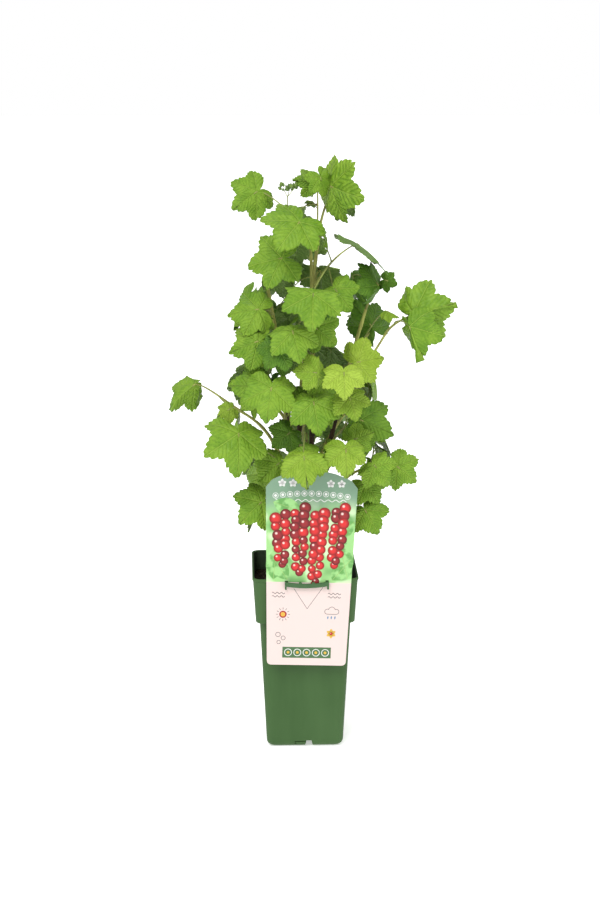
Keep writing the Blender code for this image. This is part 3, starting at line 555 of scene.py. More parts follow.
def lay_chip():
    """One chip of bark or root at a chance place on the bed."""
    chance = chip_chance.uniform
    x, y = round_in(chance(-1, 1) * CHIP_HALF, chance(-1, 1) * CHIP_HALF, CHIP_HALF, SOIL_CORNER)
    length = chance(*CHIP_LENGTH)
    size = Matrix.Diagonal((length, length * chance(0.25, 0.6), length * chance(0.15, 0.35)))
    turn = Matrix.Rotation(chance(0, tau), 3, "Z") @ Matrix.Rotation(chance(-0.5, 0.5), 3, "Y")
    place = Vector((x, y, soil_height(x, y) + 0.0004))
    slot = chip_chance.choice((0, 0, 1, 2))
    return [place + turn @ size @ point for point in chip_points], chip_faces, slot


# %% [markdown]
# The compost is nearly black where it is moist. Its chips are dark brown, red brown or grey. Four
# separate networks could be built, but they differ only in their colours and the size of the
# crumbs, so one function makes them all.

# %% Compost finish
SOIL_DARK = (0.010, 0.008, 0.006)
SOIL_BROWN = (0.045, 0.026, 0.016)
CHIP_COLOURS = ((0.035, 0.020, 0.012), (0.130, 0.045, 0.026), (0.085, 0.060, 0.042))


def make_earth(name, dark, pale, scale):
    """Crumbly matt earth between two colours."""
    material, shader, place = finish(name, dark, 0.95, 0.15)
    crumbs = place.noise(scale, 4.0, 0.65)
    wire(shader, Base_Color=crumbs.ramp(0.38, 0.68).tint(dark, pale), Normal=crumbs.bump(0.5, 0.0012))
    return material


soil.data.materials.append(make_earth("compost_earth", SOIL_DARK, SOIL_BROWN, 420))
chip_finishes = [make_earth(f"chip_{index}", scaled(colour, 0.5), colour, 700)
                 for index, colour in enumerate(CHIP_COLOURS)]
chips = gather("compost_chips", [lay_chip() for _ in range(CHIP_COUNT)], chip_finishes, smooth=False)
finish_piece(soil, "earth", "soil")
finish_piece(chips, "earth")

# %% [markdown]
# ## How the bush grows
#
# Leaves could be placed by hand one at a time, or scattered by particles. The one is slow, and the
# other lets leaves run through each other. So the bush grows by one rule.
# Four canes rise from the soil and six boughs leave them low down.
# Each shoot starts on a limb and bends to its leading leaf. A second leading leaf hangs on a side
# stalk, and the rest follow in a spiral with a seeded chance. A leaf that would touch anything is
# skipped. The values here are the plain model's own, so every leaf hangs where its solid hangs.

# %% Values of the rule
LEAF_EDGE = ((0, 1.00), (30, 0.73), (57, 0.92), (86, 0.71), (116, 0.78), (150, 0.60), (180, 0.12))
LEAF_HEART = 0.34
LEAF_THICK = 0.0009
LEAF_CUP = 0.16
STALK_RADIUS = 0.00105
STALK_SIDES = 3
STALK_STEPS = 2
STALK_SINK = 0.004
STALK_LEAVES = 0.38
STALK_ARRIVES = 0.30
ARRIVES_ALONG = 0.45
ARRIVES_UNDER = 0.75
STEM_RADIUS = 0.0017
STEM_SIDES = 4
STEM_STEPS = 5
LIMB_STEPS = 10
SIDE_SHARES = (0.36, 0.52, 0.24, 0.66, 0.14)
HOST_SHIFTS = (0, 0.03, -0.03, 0.06, -0.06)
KINKS = ((0, 0, 0), (0, 0, 0.4), (0.5, 0, 0), (-0.5, 0, 0), (0, 0.5, 0), (0, -0.5, 0), (0, 0, -0.4),
         (0, 0, 0.9), (0.9, 0, 0.3), (-0.9, 0, 0.3), (0, 0.9, 0.3), (0, -0.9, 0.3))
TIP_KINK = 0.6
LIFT = Vector((0, 0, 0.35))
SETTLE_STEP = 0.002
SETTLE_STEPS = 16
SEAT_REACH = 0.020
SEAT_STEP = 0.0001
SEAT_SIDES = 12
TEST_SCALE = 1.05
TEST_THICK = 0.0022
TEST_STALK = 0.0016
TEST_SHORT = 0.0045
GOLDEN_ANGLE = radians(137.5)
TRIES = 60
RULE_LENGTH = (0.025, 0.039)
RULE_STALK = (0.020, 0.052)
RULE_JITTER = 0.9
RULE_TURN = 45
RULE_TILT = (12, 48)
RULE_FACE = 35
FRONT_DEPTH = 0.03
HIDES_BEHIND = 0.004
SIGHT_RISE = 0.23
CROWN_DEPTH = 0.135
CROWN = ((0.24, -0.072, 0.080), (0.33, -0.080, 0.100), (0.42, -0.082, 0.088),
         (0.50, -0.078, 0.078), (0.57, -0.058, 0.030), (0.64, -0.020, 0.014))
GAPS = ((0.042, 0.484, 0.020), (-0.006, 0.556, 0.008), (-0.034, 0.384, 0.013), (-0.036, 0.350, 0.012),
        (0.110, 0.475, 0.012), (0.060, 0.556, 0.012))

# %% Canes and boughs
# Each cane: its foot on the soil, its tip, its bow, then its radius at foot and tip and its flare.
CANES = {
    "cane_main": ((-0.003, 0.002), (0.018, 0.012, 0.594), (-0.011, 0.002, 0), (0.0042, 0.0019, 1.7)),
    "cane_left": ((-0.014, 0.014), (-0.044, 0.010, 0.545), (0.013, 0.006, 0), (0.0038, 0.0017, 1.6)),
    "cane_right": ((0.012, 0.008), (0.070, 0.012, 0.502), (-0.012, -0.004, 0), (0.0040, 0.0017, 1.6)),
    "cane_back": ((0.001, 0.020), (0.010, 0.062, 0.560), (0.006, 0.006, 0), (0.0038, 0.0017, 1.6)),
}
# Each bough: its cane and the share of the cane's height where it leaves, then as for a cane.
BOUGHS = {
    "bough_far_left": ("cane_left", 0.30, (-0.070, -0.012, 0.390), (0.004, 0, 0.012), (0.0024, 0.0014, 1)),
    "bough_low_left": ("cane_left", 0.22, (-0.040, -0.004, 0.336), (0.002, 0, 0.006), (0.0022, 0.0014, 1)),
    "bough_far_right": ("cane_right", 0.72, (0.092, -0.004, 0.478), (0, 0, -0.006), (0.0016, 0.0012, 1)),
    "bough_low_right": ("cane_right", 0.24, (0.062, -0.006, 0.320), (0, 0, 0.008), (0.0024, 0.0014, 1)),
    "bough_back_left": ("cane_back", 0.34, (-0.050, 0.066, 0.400), (0, 0, 0.010), (0.0024, 0.0014, 1)),
    "bough_back_right": ("cane_back", 0.30, (0.062, 0.064, 0.385), (0, 0, 0.010), (0.0024, 0.0014, 1)),
}

# %% [markdown]
# Each shoot has a row: its limb and the share of the limb's height where it leaves, its two
# leading leaves, how many more leaves the rule tries, how far they may reach, and the rule's seed.
# A leaf is its place and length, then its turn, tilt and face. Rows are in millimetres and degrees.
# Chance could place the leading leaves too, but they give this bush its look from the front.

# %% Shoots
Blade = namedtuple("Blade", "x y z length turn tilt face")
Mass = namedtuple("Mass", "host share lead side count reach seed")
SHOOT_ROWS = (
    ("crown_top", "cane_main", 1.0, (29, -5, 641, 45, 74, 0, -46),
     (44, 34, 628, 30, 20, 14, 130), 0, 60, 3),
    ("crown_tip", "cane_main", 0.95, (12.5, -12, 646, 25, -100, 12, 20),
     (-14, 30, 602, 30, -20, 14, 200), 0, 60, 33),
    ("crown_left", "cane_main", 0.93, (-6, -35, 605, 43, -44, 45, 16),
     (-52, 0, 635, 33, -55, 14, 0), 2, 60, 5),
    ("high_left", "cane_left", 1.0, (-25, -20, 564, 40, -78, 22, -12),
     (-34, 30, 552, 36, -20, 16, -130), 5, 80, 34),
    ("upper_left", "cane_left", 0.86, (-51, -30, 509, 36, -82, 42, -12),
     (-62, 20, 515, 32, -10, 16, -80), 3, 70, 32),
    ("high_centre", "cane_main", 0.82, (58, -12, 579, 48, -6, 56, 94),
     (7, -80, 533, 40, -2, 30, 0), 6, 85, 4),
    ("high_right", "cane_right", 1.0, (83, 0, 531, 34, -148, 17, 45),
     (56, 20, 540, 36, 29, 11, -36), 3, 70, 7),
    ("upper_right", "cane_right", 0.84, (77, 16, 482, 41, 214, 18, -2),
     (90, -34, 507, 15, 62, 40, 0), 3, 60, 9),
    ("far_right", "bough_far_right", 1.0, (121, -20, 502, 48, 105, 20, -18),
     (115, -32, 489, 41, 18, 6, -5), 1, 50, 6),
    ("centre", "cane_main", 0.62, (-15, -75, 492, 36, 14, 26, 0),
     (11, -80, 447, 26, -95, 14, 0), 7, 85, 11),
    ("middle_left", "cane_left", 0.66, (-52, -45, 476, 35, -68, 30, -10),
     (-50, -50, 425, 37, -95, 16, -8), 8, 90, 8),
    ("lower_left", "cane_left", 0.46, (-38, -75, 430, 39, -8, 16, 0),
     (-17, -30, 370, 27, -48, 5, 0), 7, 85, 12),
    ("far_left", "bough_far_left", 1.0, (-122, -20, 424, 40, -46, 34, -15),
     (-83, -36, 399, 18, -60, 30, 0), 1, 50, 13),
    ("low_left", "bough_low_left", 1.0, (-74, -60, 376, 47, -7, 24, 24),
     (-29, -38, 337, 31, -50, 24, 0), 6, 80, 14),
    ("skirt_left", "cane_left", 0.17, (-49, -45, 294, 34, -46, 30, -3),
     (-50, 12, 312, 34, -20, 20, -60), 6, 80, 15),
    ("low_centre", "cane_main", 0.36, (8, -70, 413, 37, 10, 22, 0),
     (-3, -88, 356, 35, 5, 22, 0), 6, 85, 41),
    ("middle_right", "cane_right", 0.62, (57, -45, 452, 34, 98, 20, 10),
     (40, -85, 448, 29, 2, 28, 0), 8, 85, 17),
    ("lower_right", "cane_right", 0.5, (62, -30, 384, 41, 66, 25, 0),
     (47, -70, 418, 27, 15, 35, 5), 8, 85, 18),
    ("low_right", "cane_right", 0.36, (43, -80, 362, 31, 0, 22, 5),
     (54, -50, 366, 25, 110, 25, 5), 5, 75, 19),
    ("arm_right", "bough_low_right", 1.0, (104, -30, 330, 29, 50, 18, 10),
     (76, -55, 338, 28, 35, 25, 5), 3, 65, 20),
    ("skirt_right", "cane_right", 0.15, (67, -45, 284, 31, 28, 18, 0),
     (67, -40, 313, 27, 35, 20, 5), 5, 75, 51),
    ("side_left", "cane_left", 0.82, (-64, 38, 478, 38, 0, 15, -92),
     (-50, 48, 520, 36, 0, 15, -115), 8, 90, 27),
    ("front_left", "cane_left", 0.56, (-68, -2, 432, 33, 0, 14, -86),
     (-55, 22, 405, 32, -5, 14, -80), 6, 85, 30),
    ("front_right", "cane_right", 0.55, (81, 4, 424, 34, 0, 14, 92),
     (66, -16, 365, 34, 5, 14, 84), 6, 85, 31),
    ("side_right", "cane_right", 0.74, (78, 45, 430, 38, 0, 14, 95),
     (70, 66, 474, 34, 0, 14, 120), 7, 80, 28),
    ("back_top", "cane_back", 1.0, (-4, 74, 580, 40, 10, 30, 170),
     (-24, 85, 540, 40, -20, 22, -150), 8, 90, 22),
    ("back_upper", "cane_back", 0.86, (22, 96, 535, 38, 0, 22, 150),
     (-30, 100, 490, 40, 0, 20, -160), 8, 90, 29),
    ("back_middle", "cane_back", 0.7, (0, 112, 455, 44, 0, 25, 185),
     (36, 108, 440, 38, 10, 20, 155), 8, 90, 23),
    ("back_left", "bough_back_left", 1.0, (-62, 85, 420, 42, 10, 22, -130),
     (-72, 50, 380, 40, 0, 16, -95), 9, 95, 24),
    ("back_right", "bough_back_right", 1.0, (70, 94, 410, 40, -10, 22, 140),
     (84, 66, 366, 34, 0, 38, 105), 8, 95, 25),
    ("back_low", "cane_back", 0.28, (4, 100, 360, 44, 0, 20, 180),
     (-45, 70, 320, 40, 10, 18, -150), 9, 95, 26),
)


def blade_of(x, y, z, length, *angles):
    """A leading leaf from its millimetres and degrees."""
    return Blade(x / 1000, y / 1000, z / 1000, length / 1000, *angles)


MASSES = {name: Mass(host, share, blade_of(*lead), blade_of(*side), count, reach / 1000, seed)
          for name, host, share, lead, side, count, reach, seed in SHOOT_ROWS}
print("rows of shoots:", len(MASSES))

# %% [markdown]
# Limbs are tubes along curves. A curve object with a bevel could be the tube, but its foot can't be
# cut square to a way that is given. This tube carries its cross-section from ring to ring
# without twist, and its foot is cut as it should be.

# %% Curves and tubes
NODE_SPACING = 0.034
NODE_SWELL = 0.16


def bend(start, end, bow, steps):
    """A path that bows away from the straight line between two places."""
    start, end, bow = Vector(start), Vector(end), Vector(bow)
    return [start.lerp(end, step / steps) + bow * sin(pi * (step / steps)) for step in range(steps + 1)]


def tube(path, radii, sides, foot_way=None):
    """Points and faces of a closed tube along a path, its foot cut square to a given way."""
    points = []
    side_way = None
    for index, place in enumerate(path):
        way = (path[min(index + 1, len(path) - 1)] - path[max(index - 1, 0)]).normalized()
        if foot_way and index == 0:
            way = foot_way
        if side_way is None:
            side_way = way.orthogonal().normalized()
        side_way = (side_way - way * side_way.dot(way)).normalized()
        other_way = way.cross(side_way)
        for step in range(sides):
            angle = 2 * pi * step / sides
            points.append(place + radii[index] * (side_way * cos(angle) + other_way * sin(angle)))
    faces = [tuple(reversed(range(sides)))]
    last = len(points) - sides
    for base in range(0, last, sides):
        for index in range(sides):
            after = (index + 1) % sides
            faces.append((base + index, base + after, base + sides + after, base + sides + index))
    return points, faces + [tuple(range(last, len(points)))]


def limb_radii(foot_radius, tip_radius, flare, steps, node_turns=0):
    """The taper of a limb, with a flare over its first stretch and a swelling at each node."""
    radii = []
    for step in range(steps + 1):
        share = step / steps
        swell = 1 + (flare - 1) * max(0.0, 1 - share * 8) ** 2
        if node_turns:
            swell += NODE_SWELL * cos(pi * share * node_turns / NODE_SPACING) ** 12
        radii.append((foot_radius + (tip_radius - foot_radius) * share) * swell)
    return radii


def along(path, share):
    """The place and direction at a share of a path's points."""
    position = share * (len(path) - 1)
    index = min(int(position), len(path) - 2)
    place = path[index].lerp(path[index + 1], position - index)
    return place, (path[index + 1] - path[index]).normalized()


# %% [markdown]
# On a real bush, leaves push each other aside. Here a leaf that would touch is moved or left out.
# Every face could be tested against every other, which is slow. A search tree of each placed
# solid tells quickly whether a new leaf or stalk would touch it.

# %% Clearance
Obstacle = namedtuple("Obstacle", "middle radius tree")
placed = []


def place_solid(points, faces):
    """Keep a solid for the clearance tests, with the ball round it for a quick first test."""
    placed.append(ball_round(points, faces))
    return placed[-1]


def ball_round(points, faces):
    """A solid's middle, the ball round it and its search tree."""
    middle = sum(points, Vector()) / len(points)
    radius = max((point - middle).length for point in points)
    tree = BVHTree.FromPolygons([tuple(point) for point in points], faces, epsilon=0.0)
    return Obstacle(middle, radius, tree)


def touches(points, faces):
    """Whether a solid would touch anything placed so far."""
    own = ball_round(points, faces)
    return any((own.middle - other.middle).length <= own.radius + other.radius
               and own.tree.overlap(other.tree) for other in placed)


def seat(start, way, radius, tree):
    """Move a limb's foot in along its way until its end is just clear of what carries it."""
    reach = SEAT_REACH
    while reach > 0:
        foot = start + way * (reach - SEAT_STEP)
        ring, _ = tube([foot, foot + way * STALK_SINK], [radius, radius], SEAT_SIDES)
        if min(tree.find_nearest(point)[3] for point in ring + [foot]) < CLEAR:
            break
        reach -= SEAT_STEP
    return start + way * reach


# %% Leaves and stalks of the rule
def blade_axes(blade):
    """The tip's way, the way across and the upper face's way of a hanging leaf."""
    whole = (Matrix.Rotation(radians(blade.face), 3, "Z") @ Matrix.Rotation(-radians(blade.tilt), 3, "X")
             @ Matrix.Rotation(radians(blade.turn), 3, "Y").inverted())
    return [whole @ Vector(way) for way in ((0, 0, -1), (1, 0, 0), (0, -1, 0))]


def leaf_solid(blade, scale=1.0, thick=LEAF_THICK):
    """A lobed leaf as a thin closed solid, cupped down towards its edge."""
    tip_way, cross_way, up_way = blade_axes(blade)
    joint = Vector(blade[:3])
    edge = [(radians(angle), reach) for angle, reach in LEAF_EDGE]
    edge += [(-angle, reach) for angle, reach in edge[-2:0:-1]]
    points = []
    heart = LEAF_HEART * blade.length * scale
    for level in (thick / 2, -thick / 2):
        points.append(joint + tip_way * heart + up_way * (level - LEAF_CUP * heart * LEAF_HEART))
        for angle, reach in edge:
            spread = reach * blade.length * scale
            points.append(joint + tip_way * (spread * cos(angle)) + cross_way * (spread * sin(angle))
                          + up_way * (level - LEAF_CUP * spread * reach))
    faces = []
    lower = len(edge) + 1
    for index in range(len(edge)):
        this = 1 + index
        after = 1 + (index + 1) % len(edge)
        faces += [(0, this, after), (lower, lower + after, lower + this),
                  (this, lower + this, lower + after, after)]
    return points, faces


def test_leaf(blade):
    """A slightly larger and thicker leaf, which has to be clear."""
    return leaf_solid(blade, TEST_SCALE, TEST_THICK)


def stalk_path(start, start_way, blade, steps):
    """A leaf stalk as a Bezier curve from its stem to the leaf, ending inside the blade."""
    tip_way, _, up_way = blade_axes(blade)
    joint = Vector(blade[:3])
    length = (joint - start).length
    leave = start + start_way * (length * STALK_LEAVES)
    arrive_way = (tip_way * ARRIVES_ALONG + up_way * ARRIVES_UNDER).normalized()
    arrive = joint - arrive_way * (length * STALK_ARRIVES)
    path = []
    for step in range(steps + 1):
        share = step / steps
        rest = 1 - share
        path.append(start * rest ** 3 + leave * 3 * rest ** 2 * share
                    + arrive * 3 * rest * share ** 2 + joint * share ** 3)
    return path + [joint + tip_way * STALK_SINK - up_way * (LEAF_CUP * LEAF_HEART * STALK_SINK)]


def even_tube(path, radius, sides=STALK_SIDES, foot_way=None):
    """A tube of one radius."""
    return tube(path, [radius] * len(path), sides, foot_way)


# %% [markdown]
# The rule keeps the crown's outline and its gaps, and hides no leading leaf behind a chance one.
# It could look through the camera for that, but then the bush would change with the lens. A plain
# sum of height and a little depth is near enough to what is seen from the front.

# %% Sight and chance
def seen(point):
    """Where a point shows to someone in front who looks a little down."""
    return Vector((point[0], point[2] + SIGHT_RISE * point[1]))


def blade_middle(blade):
    """The middle of a leaf's blade."""
    return Vector(blade[:3]) + blade_axes(blade)[0] * blade.length * 0.4


def hides(blade, lead):
    """Whether a leaf would stand in front of a leading leaf."""
    middle, lead_middle = blade_middle(blade), blade_middle(lead)
    shown = blade.length * abs(blade_axes(blade)[2].y)
    return (middle.y <= lead_middle.y + HIDES_BEHIND
            and (seen(middle) - seen(lead_middle)).length < 0.5 * (shown + lead.length))


def in_crown(points):
    """Whether a leaf keeps inside the crown's outline and out of its gaps."""
    for point in points:
        x, z = seen(point)
        if point[1] > CROWN_DEPTH or not CROWN[0][0] < z < CROWN[-1][0]:
            return False
        for (low, *low_ends), (high, *high_ends) in zip(CROWN, CROWN[1:]):
            share = (z - low) / (high - low)
            left, right = [first + (last - first) * share for first, last in zip(low_ends, high_ends)]
            if low <= z <= high and not left < x < right:
                return False
    middle = sum((seen(point) for point in points), Vector((0, 0))) / len(points)
    spread = max((seen(point) - middle).length for point in points)
    return all((middle - Vector(gap[:2])).length > gap[2] + 0.8 * spread for gap in GAPS)


def rule_blade(place, way, order, chance):
    """One leaf of the rule: its stalk spirals round the stem and its blade turns outward."""
    angle = order * GOLDEN_ANGLE + chance.uniform(-RULE_JITTER, RULE_JITTER)
    round_way = Matrix.Rotation(angle, 3, way) @ way.orthogonal().normalized()
    leave_way = (way * 0.5 + round_way * 0.9 + LIFT).normalized()
    joint = place + leave_way * chance.uniform(*RULE_STALK)
    face = degrees(atan2(joint.x, -joint.y)) + chance.uniform(-RULE_FACE, RULE_FACE)
    return leave_way, Blade(*joint, chance.uniform(*RULE_LENGTH), chance.uniform(-RULE_TURN, RULE_TURN),
                            chance.uniform(*RULE_TILT), face)


# %% Growth of one shoot
def stalk_clear(path, blade):
    """Whether a stalk touches nothing between its first stretch and its leaf."""
    joint = Vector(blade[:3])
    short = joint + (path[-3] - joint).normalized() * TEST_SHORT
    return not touches(*even_tube([path[0].lerp(path[1], 0.45)] + path[1:-2] + [short], TEST_STALK))


def settle(blade):
    """Move a leading leaf a little back or forward, in the same line of sight, until it is clear."""
    for count in range(SETTLE_STEPS):
        for side in (1, -1):
            shift = side * count * SETTLE_STEP
            moved = blade._replace(y=blade.y + shift, z=blade.z - SIGHT_RISE * shift)
            if not touches(*test_leaf(moved)):
                return moved
    return blade


def grow_stem(mass, lead):
    """The shoot's stem and leading stalk as one path, from just clear of its limb to its leaf."""
    host_path, host_tree = limbs[mass.host]
    for shift in HOST_SHIFTS:
        start, host_way = along(host_path, min(mass.share + shift, 1.0))
        aim = (Vector(lead[:3]) - start).normalized()
        for kink in KINKS:
            way = (aim + LIFT + host_way * 0.2 + Vector(kink)).normalized()
            if mass.share >= 1.0:
                way = (host_way + Vector(kink) * TIP_KINK).normalized()
            path = stalk_path(seat(start, way, STEM_RADIUS, host_tree), way, lead, STEM_STEPS)
            if stalk_clear(path, lead) and not touches(*even_tube(path[:3], STEM_RADIUS, STEM_SIDES, way)):
                return path, way
        if mass.share >= 1.0:
            break
    return path, way


def grow_side(side, stem):
    """The side leaf's stalk, which leaves the stem where its way is clear, or nothing."""
    for share in SIDE_SHARES:
        place, way = along(stem, share)
        aim = (Vector(side[:3]) - place).normalized()
        for kink in KINKS:
            leave_way = (way * 0.5 + aim + LIFT + Vector(kink)).normalized()
            path = stalk_path(place, leave_way, side, STALK_STEPS)
            if stalk_clear(path, side):
                return path, (place, leave_way, side)
    return None, None


# %% [markdown]
# Each shoot could be grown to its end before the next, but then the first would take the room of
# the last. So growing goes in three rounds, as in the plain model: all leading leaves, then all
# stems and side stalks, then the leaves of the rule. Two more rounds add what the plain model is
# too coarse for: smaller and young leaves on short stalks along each stem, within the same reach.

# %% Limbs of the plain model
limbs = {}
limb_lines = {}


def place_limb(name, sides, foot, way, tip, bow, taper):
    """Keep a limb's line, path, search tree and solid."""
    path = bend(foot, tip, bow, LIMB_STEPS)
    limbs[name] = (path, place_solid(*tube(path, limb_radii(*taper, LIMB_STEPS), sides, way)).tree)
    limb_lines[name] = (foot, way, tip, bow, taper)


for node in ("pot", "soil", "label", "label_clip"):
    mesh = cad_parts[node].data
    place_solid([vert.co for vert in mesh.vertices], [tuple(face.vertices) for face in mesh.polygons])
for name, (foot, tip, bow, taper) in CANES.items():
    place_limb(name, 8, Vector((*foot, SOIL_HIGH.z + CLEAR)), Vector((0, 0, 1)), tip, bow, taper)
for name, (cane, share, tip, bow, taper) in BOUGHS.items():
    start, host_way = along(limbs[cane][0], share)
    way = ((Vector(tip) - start).normalized() + host_way * 0.3).normalized()
    place_limb(name, 6, seat(start, way, taper[0], limbs[cane][1]), way, tip, bow, taper)
print("limbs:", len(limbs), "solids placed:", len(placed))

# %% Grow the bush
Round = namedtuple("Round", "count stretch length stalk seed")
Shoot = namedtuple("Shoot", "foot way lead stem others")
# Each round: leaves on a stem, the stretch of the stem, the lengths of blades and stalks, its seed.
RULE_ROUND = Round(None, (0.12, 0.80), None, None, 0)
FILLINGS = (Round(4, (0.08, 0.86), (0.018, 0.027), (0.014, 0.030), 300),
            Round(5, (0.08, 0.86), (0.009, 0.015), (0.006, 0.014), 500))
# Smaller leaves that show clearly from the front: their shoot, the share of its stem and the leaf.
SEEN_LEAVES = (("high_centre", 0.30, Blade(0.033, -0.030, 0.531, 0.030, 35, 20, 0)),
               ("high_right", 0.60, Blade(0.0903, 0.000, 0.5368, 0.015, 70, 20, 0)),
               ("crown_tip", 0.62, Blade(0.0170, -0.016, 0.652, 0.023, 20, 8, 34)),
               ("centre", 0.75, Blade(0.010, -0.046, 0.491, 0.031, 52, 20, 5)))


def try_leaf(place, way, order, mass, chance, leads, centre, filling):
    """One try at a leaf, or nothing where it would touch or show wrongly."""
    leave_way, blade = rule_blade(place, way, order, chance)
    if filling.stalk:
        joint = place + leave_way * chance.uniform(*filling.stalk)
        blade = blade._replace(x=joint.x, y=joint.y, z=joint.z, length=chance.uniform(*filling.length))
    elif (blade_middle(blade) - centre).length + 0.5 * blade.length > mass.reach:
        return None
    if not in_crown(leaf_solid(blade)[0]):
        return None
    if (filling.stalk or mass.lead.y < FRONT_DEPTH) and any(hides(blade, lead) for lead in leads):
        return None
    if touches(*test_leaf(blade)):
        return None
    if not filling.stalk:
        stalk = stalk_path(place, leave_way, blade, STALK_STEPS)
        if not stalk_clear(stalk, blade):
            return None
        place_solid(*even_tube(stalk, STALK_RADIUS))
    place_solid(*leaf_solid(blade))
    return place, leave_way, blade


def grow_leaves(filling):
    """One round of leaves along every stem, which hide no leading leaf and keep the gaps open."""
    leads = [shoot.lead for shoot in shoots.values()]
    leads += [leaf[2] for shoot in shoots.values() for leaf in shoot.others]
    grown = {}
    for name, mass in MASSES.items():
        chance = random.Random(filling.seed + mass.seed)
        centre, _ = along(shoots[name].stem, 0.6)
        count = filling.count or mass.count
        low, high = filling.stretch
        grown[name] = []
        for order in range(count):
            place, way = along(shoots[name].stem, low + (high - low) * (order + 0.5) / count)
            for _ in range(TRIES):
                leaf = try_leaf(place, way, order, mass, chance, leads, centre, filling)
                if leaf:
                    grown[name].append(leaf)
                    break
    return grown


settled = {}
for name, mass in MASSES.items():
    lead = settle(mass.lead)
    place_solid(*leaf_solid(lead))
    side = settle(mass.side)
    settled[name] = (lead, side, place_solid(*leaf_solid(side)))
shoots = {}
for name, (lead, side, side_place) in settled.items():
    stem, foot_way = grow_stem(MASSES[name], lead)
    taper = [min(1, 1.4 * step / len(stem)) for step in range(len(stem))]
    radii = [STEM_RADIUS + (STALK_RADIUS - STEM_RADIUS) * share for share in taper]
    place_solid(*tube(stem, radii, STEM_SIDES, foot_way))
    stalk, leaf = grow_side(side, stem)
    shoots[name] = Shoot(stem[0], foot_way, lead, stem, [leaf] if stalk else [])
    if stalk:
        place_solid(*even_tube(stalk, STALK_RADIUS))
    else:
        placed[:] = [item for item in placed if item is not side_place]
for name, leaves in grow_leaves(RULE_ROUND).items():
    shoots[name].others.extend(leaves)
middling, young = [grow_leaves(filling) for filling in FILLINGS]
for name, share, blade in SEEN_LEAVES:
    place, _ = along(shoots[name].stem, share)
    middling[name].append((place, (Vector(blade[:3]) - place + LIFT * 0.02).normalized(), blade))
print("shoots:", len(shoots), "leaves:", sum(1 + len(shoot.others) for shoot in shoots.values()),
      "smaller:", sum(map(len, middling.values())), "young:", sum(map(len, young.values())))

# %% [markdown]
# ## Canes and boughs with bark
#
# A cane is a tapering rod with a slight swelling at each old bud. Its bark is dark brown and peels
# in thin upright strips low down, and turns olive green toward the tip, where the wood is young. The
# boughs are younger and turn olive lower down. The strips could be modelled, but that takes very
# many faces for what is hardly seen. So only the coarse unevenness is in the mesh, stretched noise
# makes the strips, and small pale dots make the pores.

# %% Bark
BARK_SIDES = 18
BARK_RINGS = 84
BARK_ROUGH = 0.00022
CANE_SUNK = 0.0035
SHOOT_SUNK = 0.0012
WOOD_LOW = (0.016, 0.009, 0.006)
WOOD_PALE = (0.085, 0.048, 0.028)
WOOD_TAN = (0.300, 0.290, 0.078)
WOOD_YOUNG = (0.470, 0.500, 0.130)
PORE = (0.30, 0.24, 0.16)


def make_bark(name, *turns):
    """Brown peeling bark that turns olive between two heights."""
    material, shader, place = finish(name, WOOD_PALE, 0.8, 0.3)
    strips = place.stretched(420, 420, 38).noise(1.0, 4.0, 0.6)
    pores = place.noise(900.0, 1.0).ramp(0.66, 0.74)
    old = (strips * 0.6 + place.noise(45.0, 3.0) * 0.4).ramp(0.36, 0.64).tint(WOOD_LOW, WOOD_PALE)
    colour = place.axes()[2].ramp(*turns).tint(old, strips.ramp(0.35, 0.65).tint(WOOD_TAN, WOOD_YOUNG))
    wire(shader, Base_Color=(pores * 0.35).tint(colour, PORE),
         Roughness=strips.ramp(0.3, 0.7, 0.62, 0.88), Normal=(strips + pores * 0.4).bump(0.45, 0.0007))
    return material


cane_bark = make_bark("cane_bark", 0.370, 0.465)
bough_bark = make_bark("bough_bark", 0.150, 0.240)
for name, (foot, way, tip, bow, taper) in limb_lines.items():
    cane = name in CANES
    start = foot - way * SHOOT_SUNK
    if cane:
        start = Vector((foot.x, foot.y, SOIL_HIGH.z - CANE_SUNK))
    path = bend(start, tip, bow, BARK_RINGS)
    radii = limb_radii(*taper, BARK_RINGS, (Vector(tip) - start).length)
    points, faces = tube(path, radii, BARK_SIDES, way)
    for index, point in enumerate(points):
        out = (point - path[index // BARK_SIDES]).normalized()
        rough = noise.noise(Vector((point.x * 420, point.y * 420, point.z * 70)))
        points[index] = point + out * BARK_ROUGH * rough * min(1.0, taper[0] / 0.003)
    bark = gather(name + "_bark", [(points, faces, 0)], [cane_bark if cane else bough_bark])
    finish_piece(bark, "bark", name)

# %% [markdown]
# ## Leaves
#
# A currant leaf has five lobes round the place where its stalk joins, with double teeth along its
# edge. The main veins lie in shallow valleys, the blade swells between them, and each leaf is
# folded a little along its middle. A flat cut-out would do for a leaf far away, but here folds and
# swellings have to catch the light, and pulling each leaf into shape by hand would take too long.
# So one sheet is worked out from the joint outward, ring by ring, and each leaf bends it anew.

# %% Leaf outline
# Each grid: how many points go round the leaf, and how far out its rings lie.
LEAF_GRID = (168, (0.16, 0.33, 0.50, 0.66, 0.80, 0.91, 1.0))
SMALL_GRID = (84, (0.25, 0.50, 0.72, 0.88, 1.0))
YOUNG_GRID = (60, (0.40, 0.75, 1.0))
VEIN_ANGLES = (0, 57, 116)
FINE_EDGE = ((0, 1.03), (6, 0.955), (14, 0.88), (23, 0.80), (31, 0.70), (39, 0.79), (48, 0.885),
             (56, 0.96), (63, 0.895), (74, 0.785), (86, 0.65), (97, 0.73), (108, 0.77), (117, 0.79),
             (130, 0.70), (148, 0.59), (164, 0.34), (180, 0.10))
TOOTH_DEPTH = 0.085
CUP = 0.15
SWELL = 0.065
ROLL = 0.055
TIP_FROM = 0.45
MAP_SCALE = 0.45
FOLD_SIDE = (-12, 22)
FOLD_BACK = (15, 50)
DROOP = (0.05, 0.55)
WAVE = (0.010, 0.030)
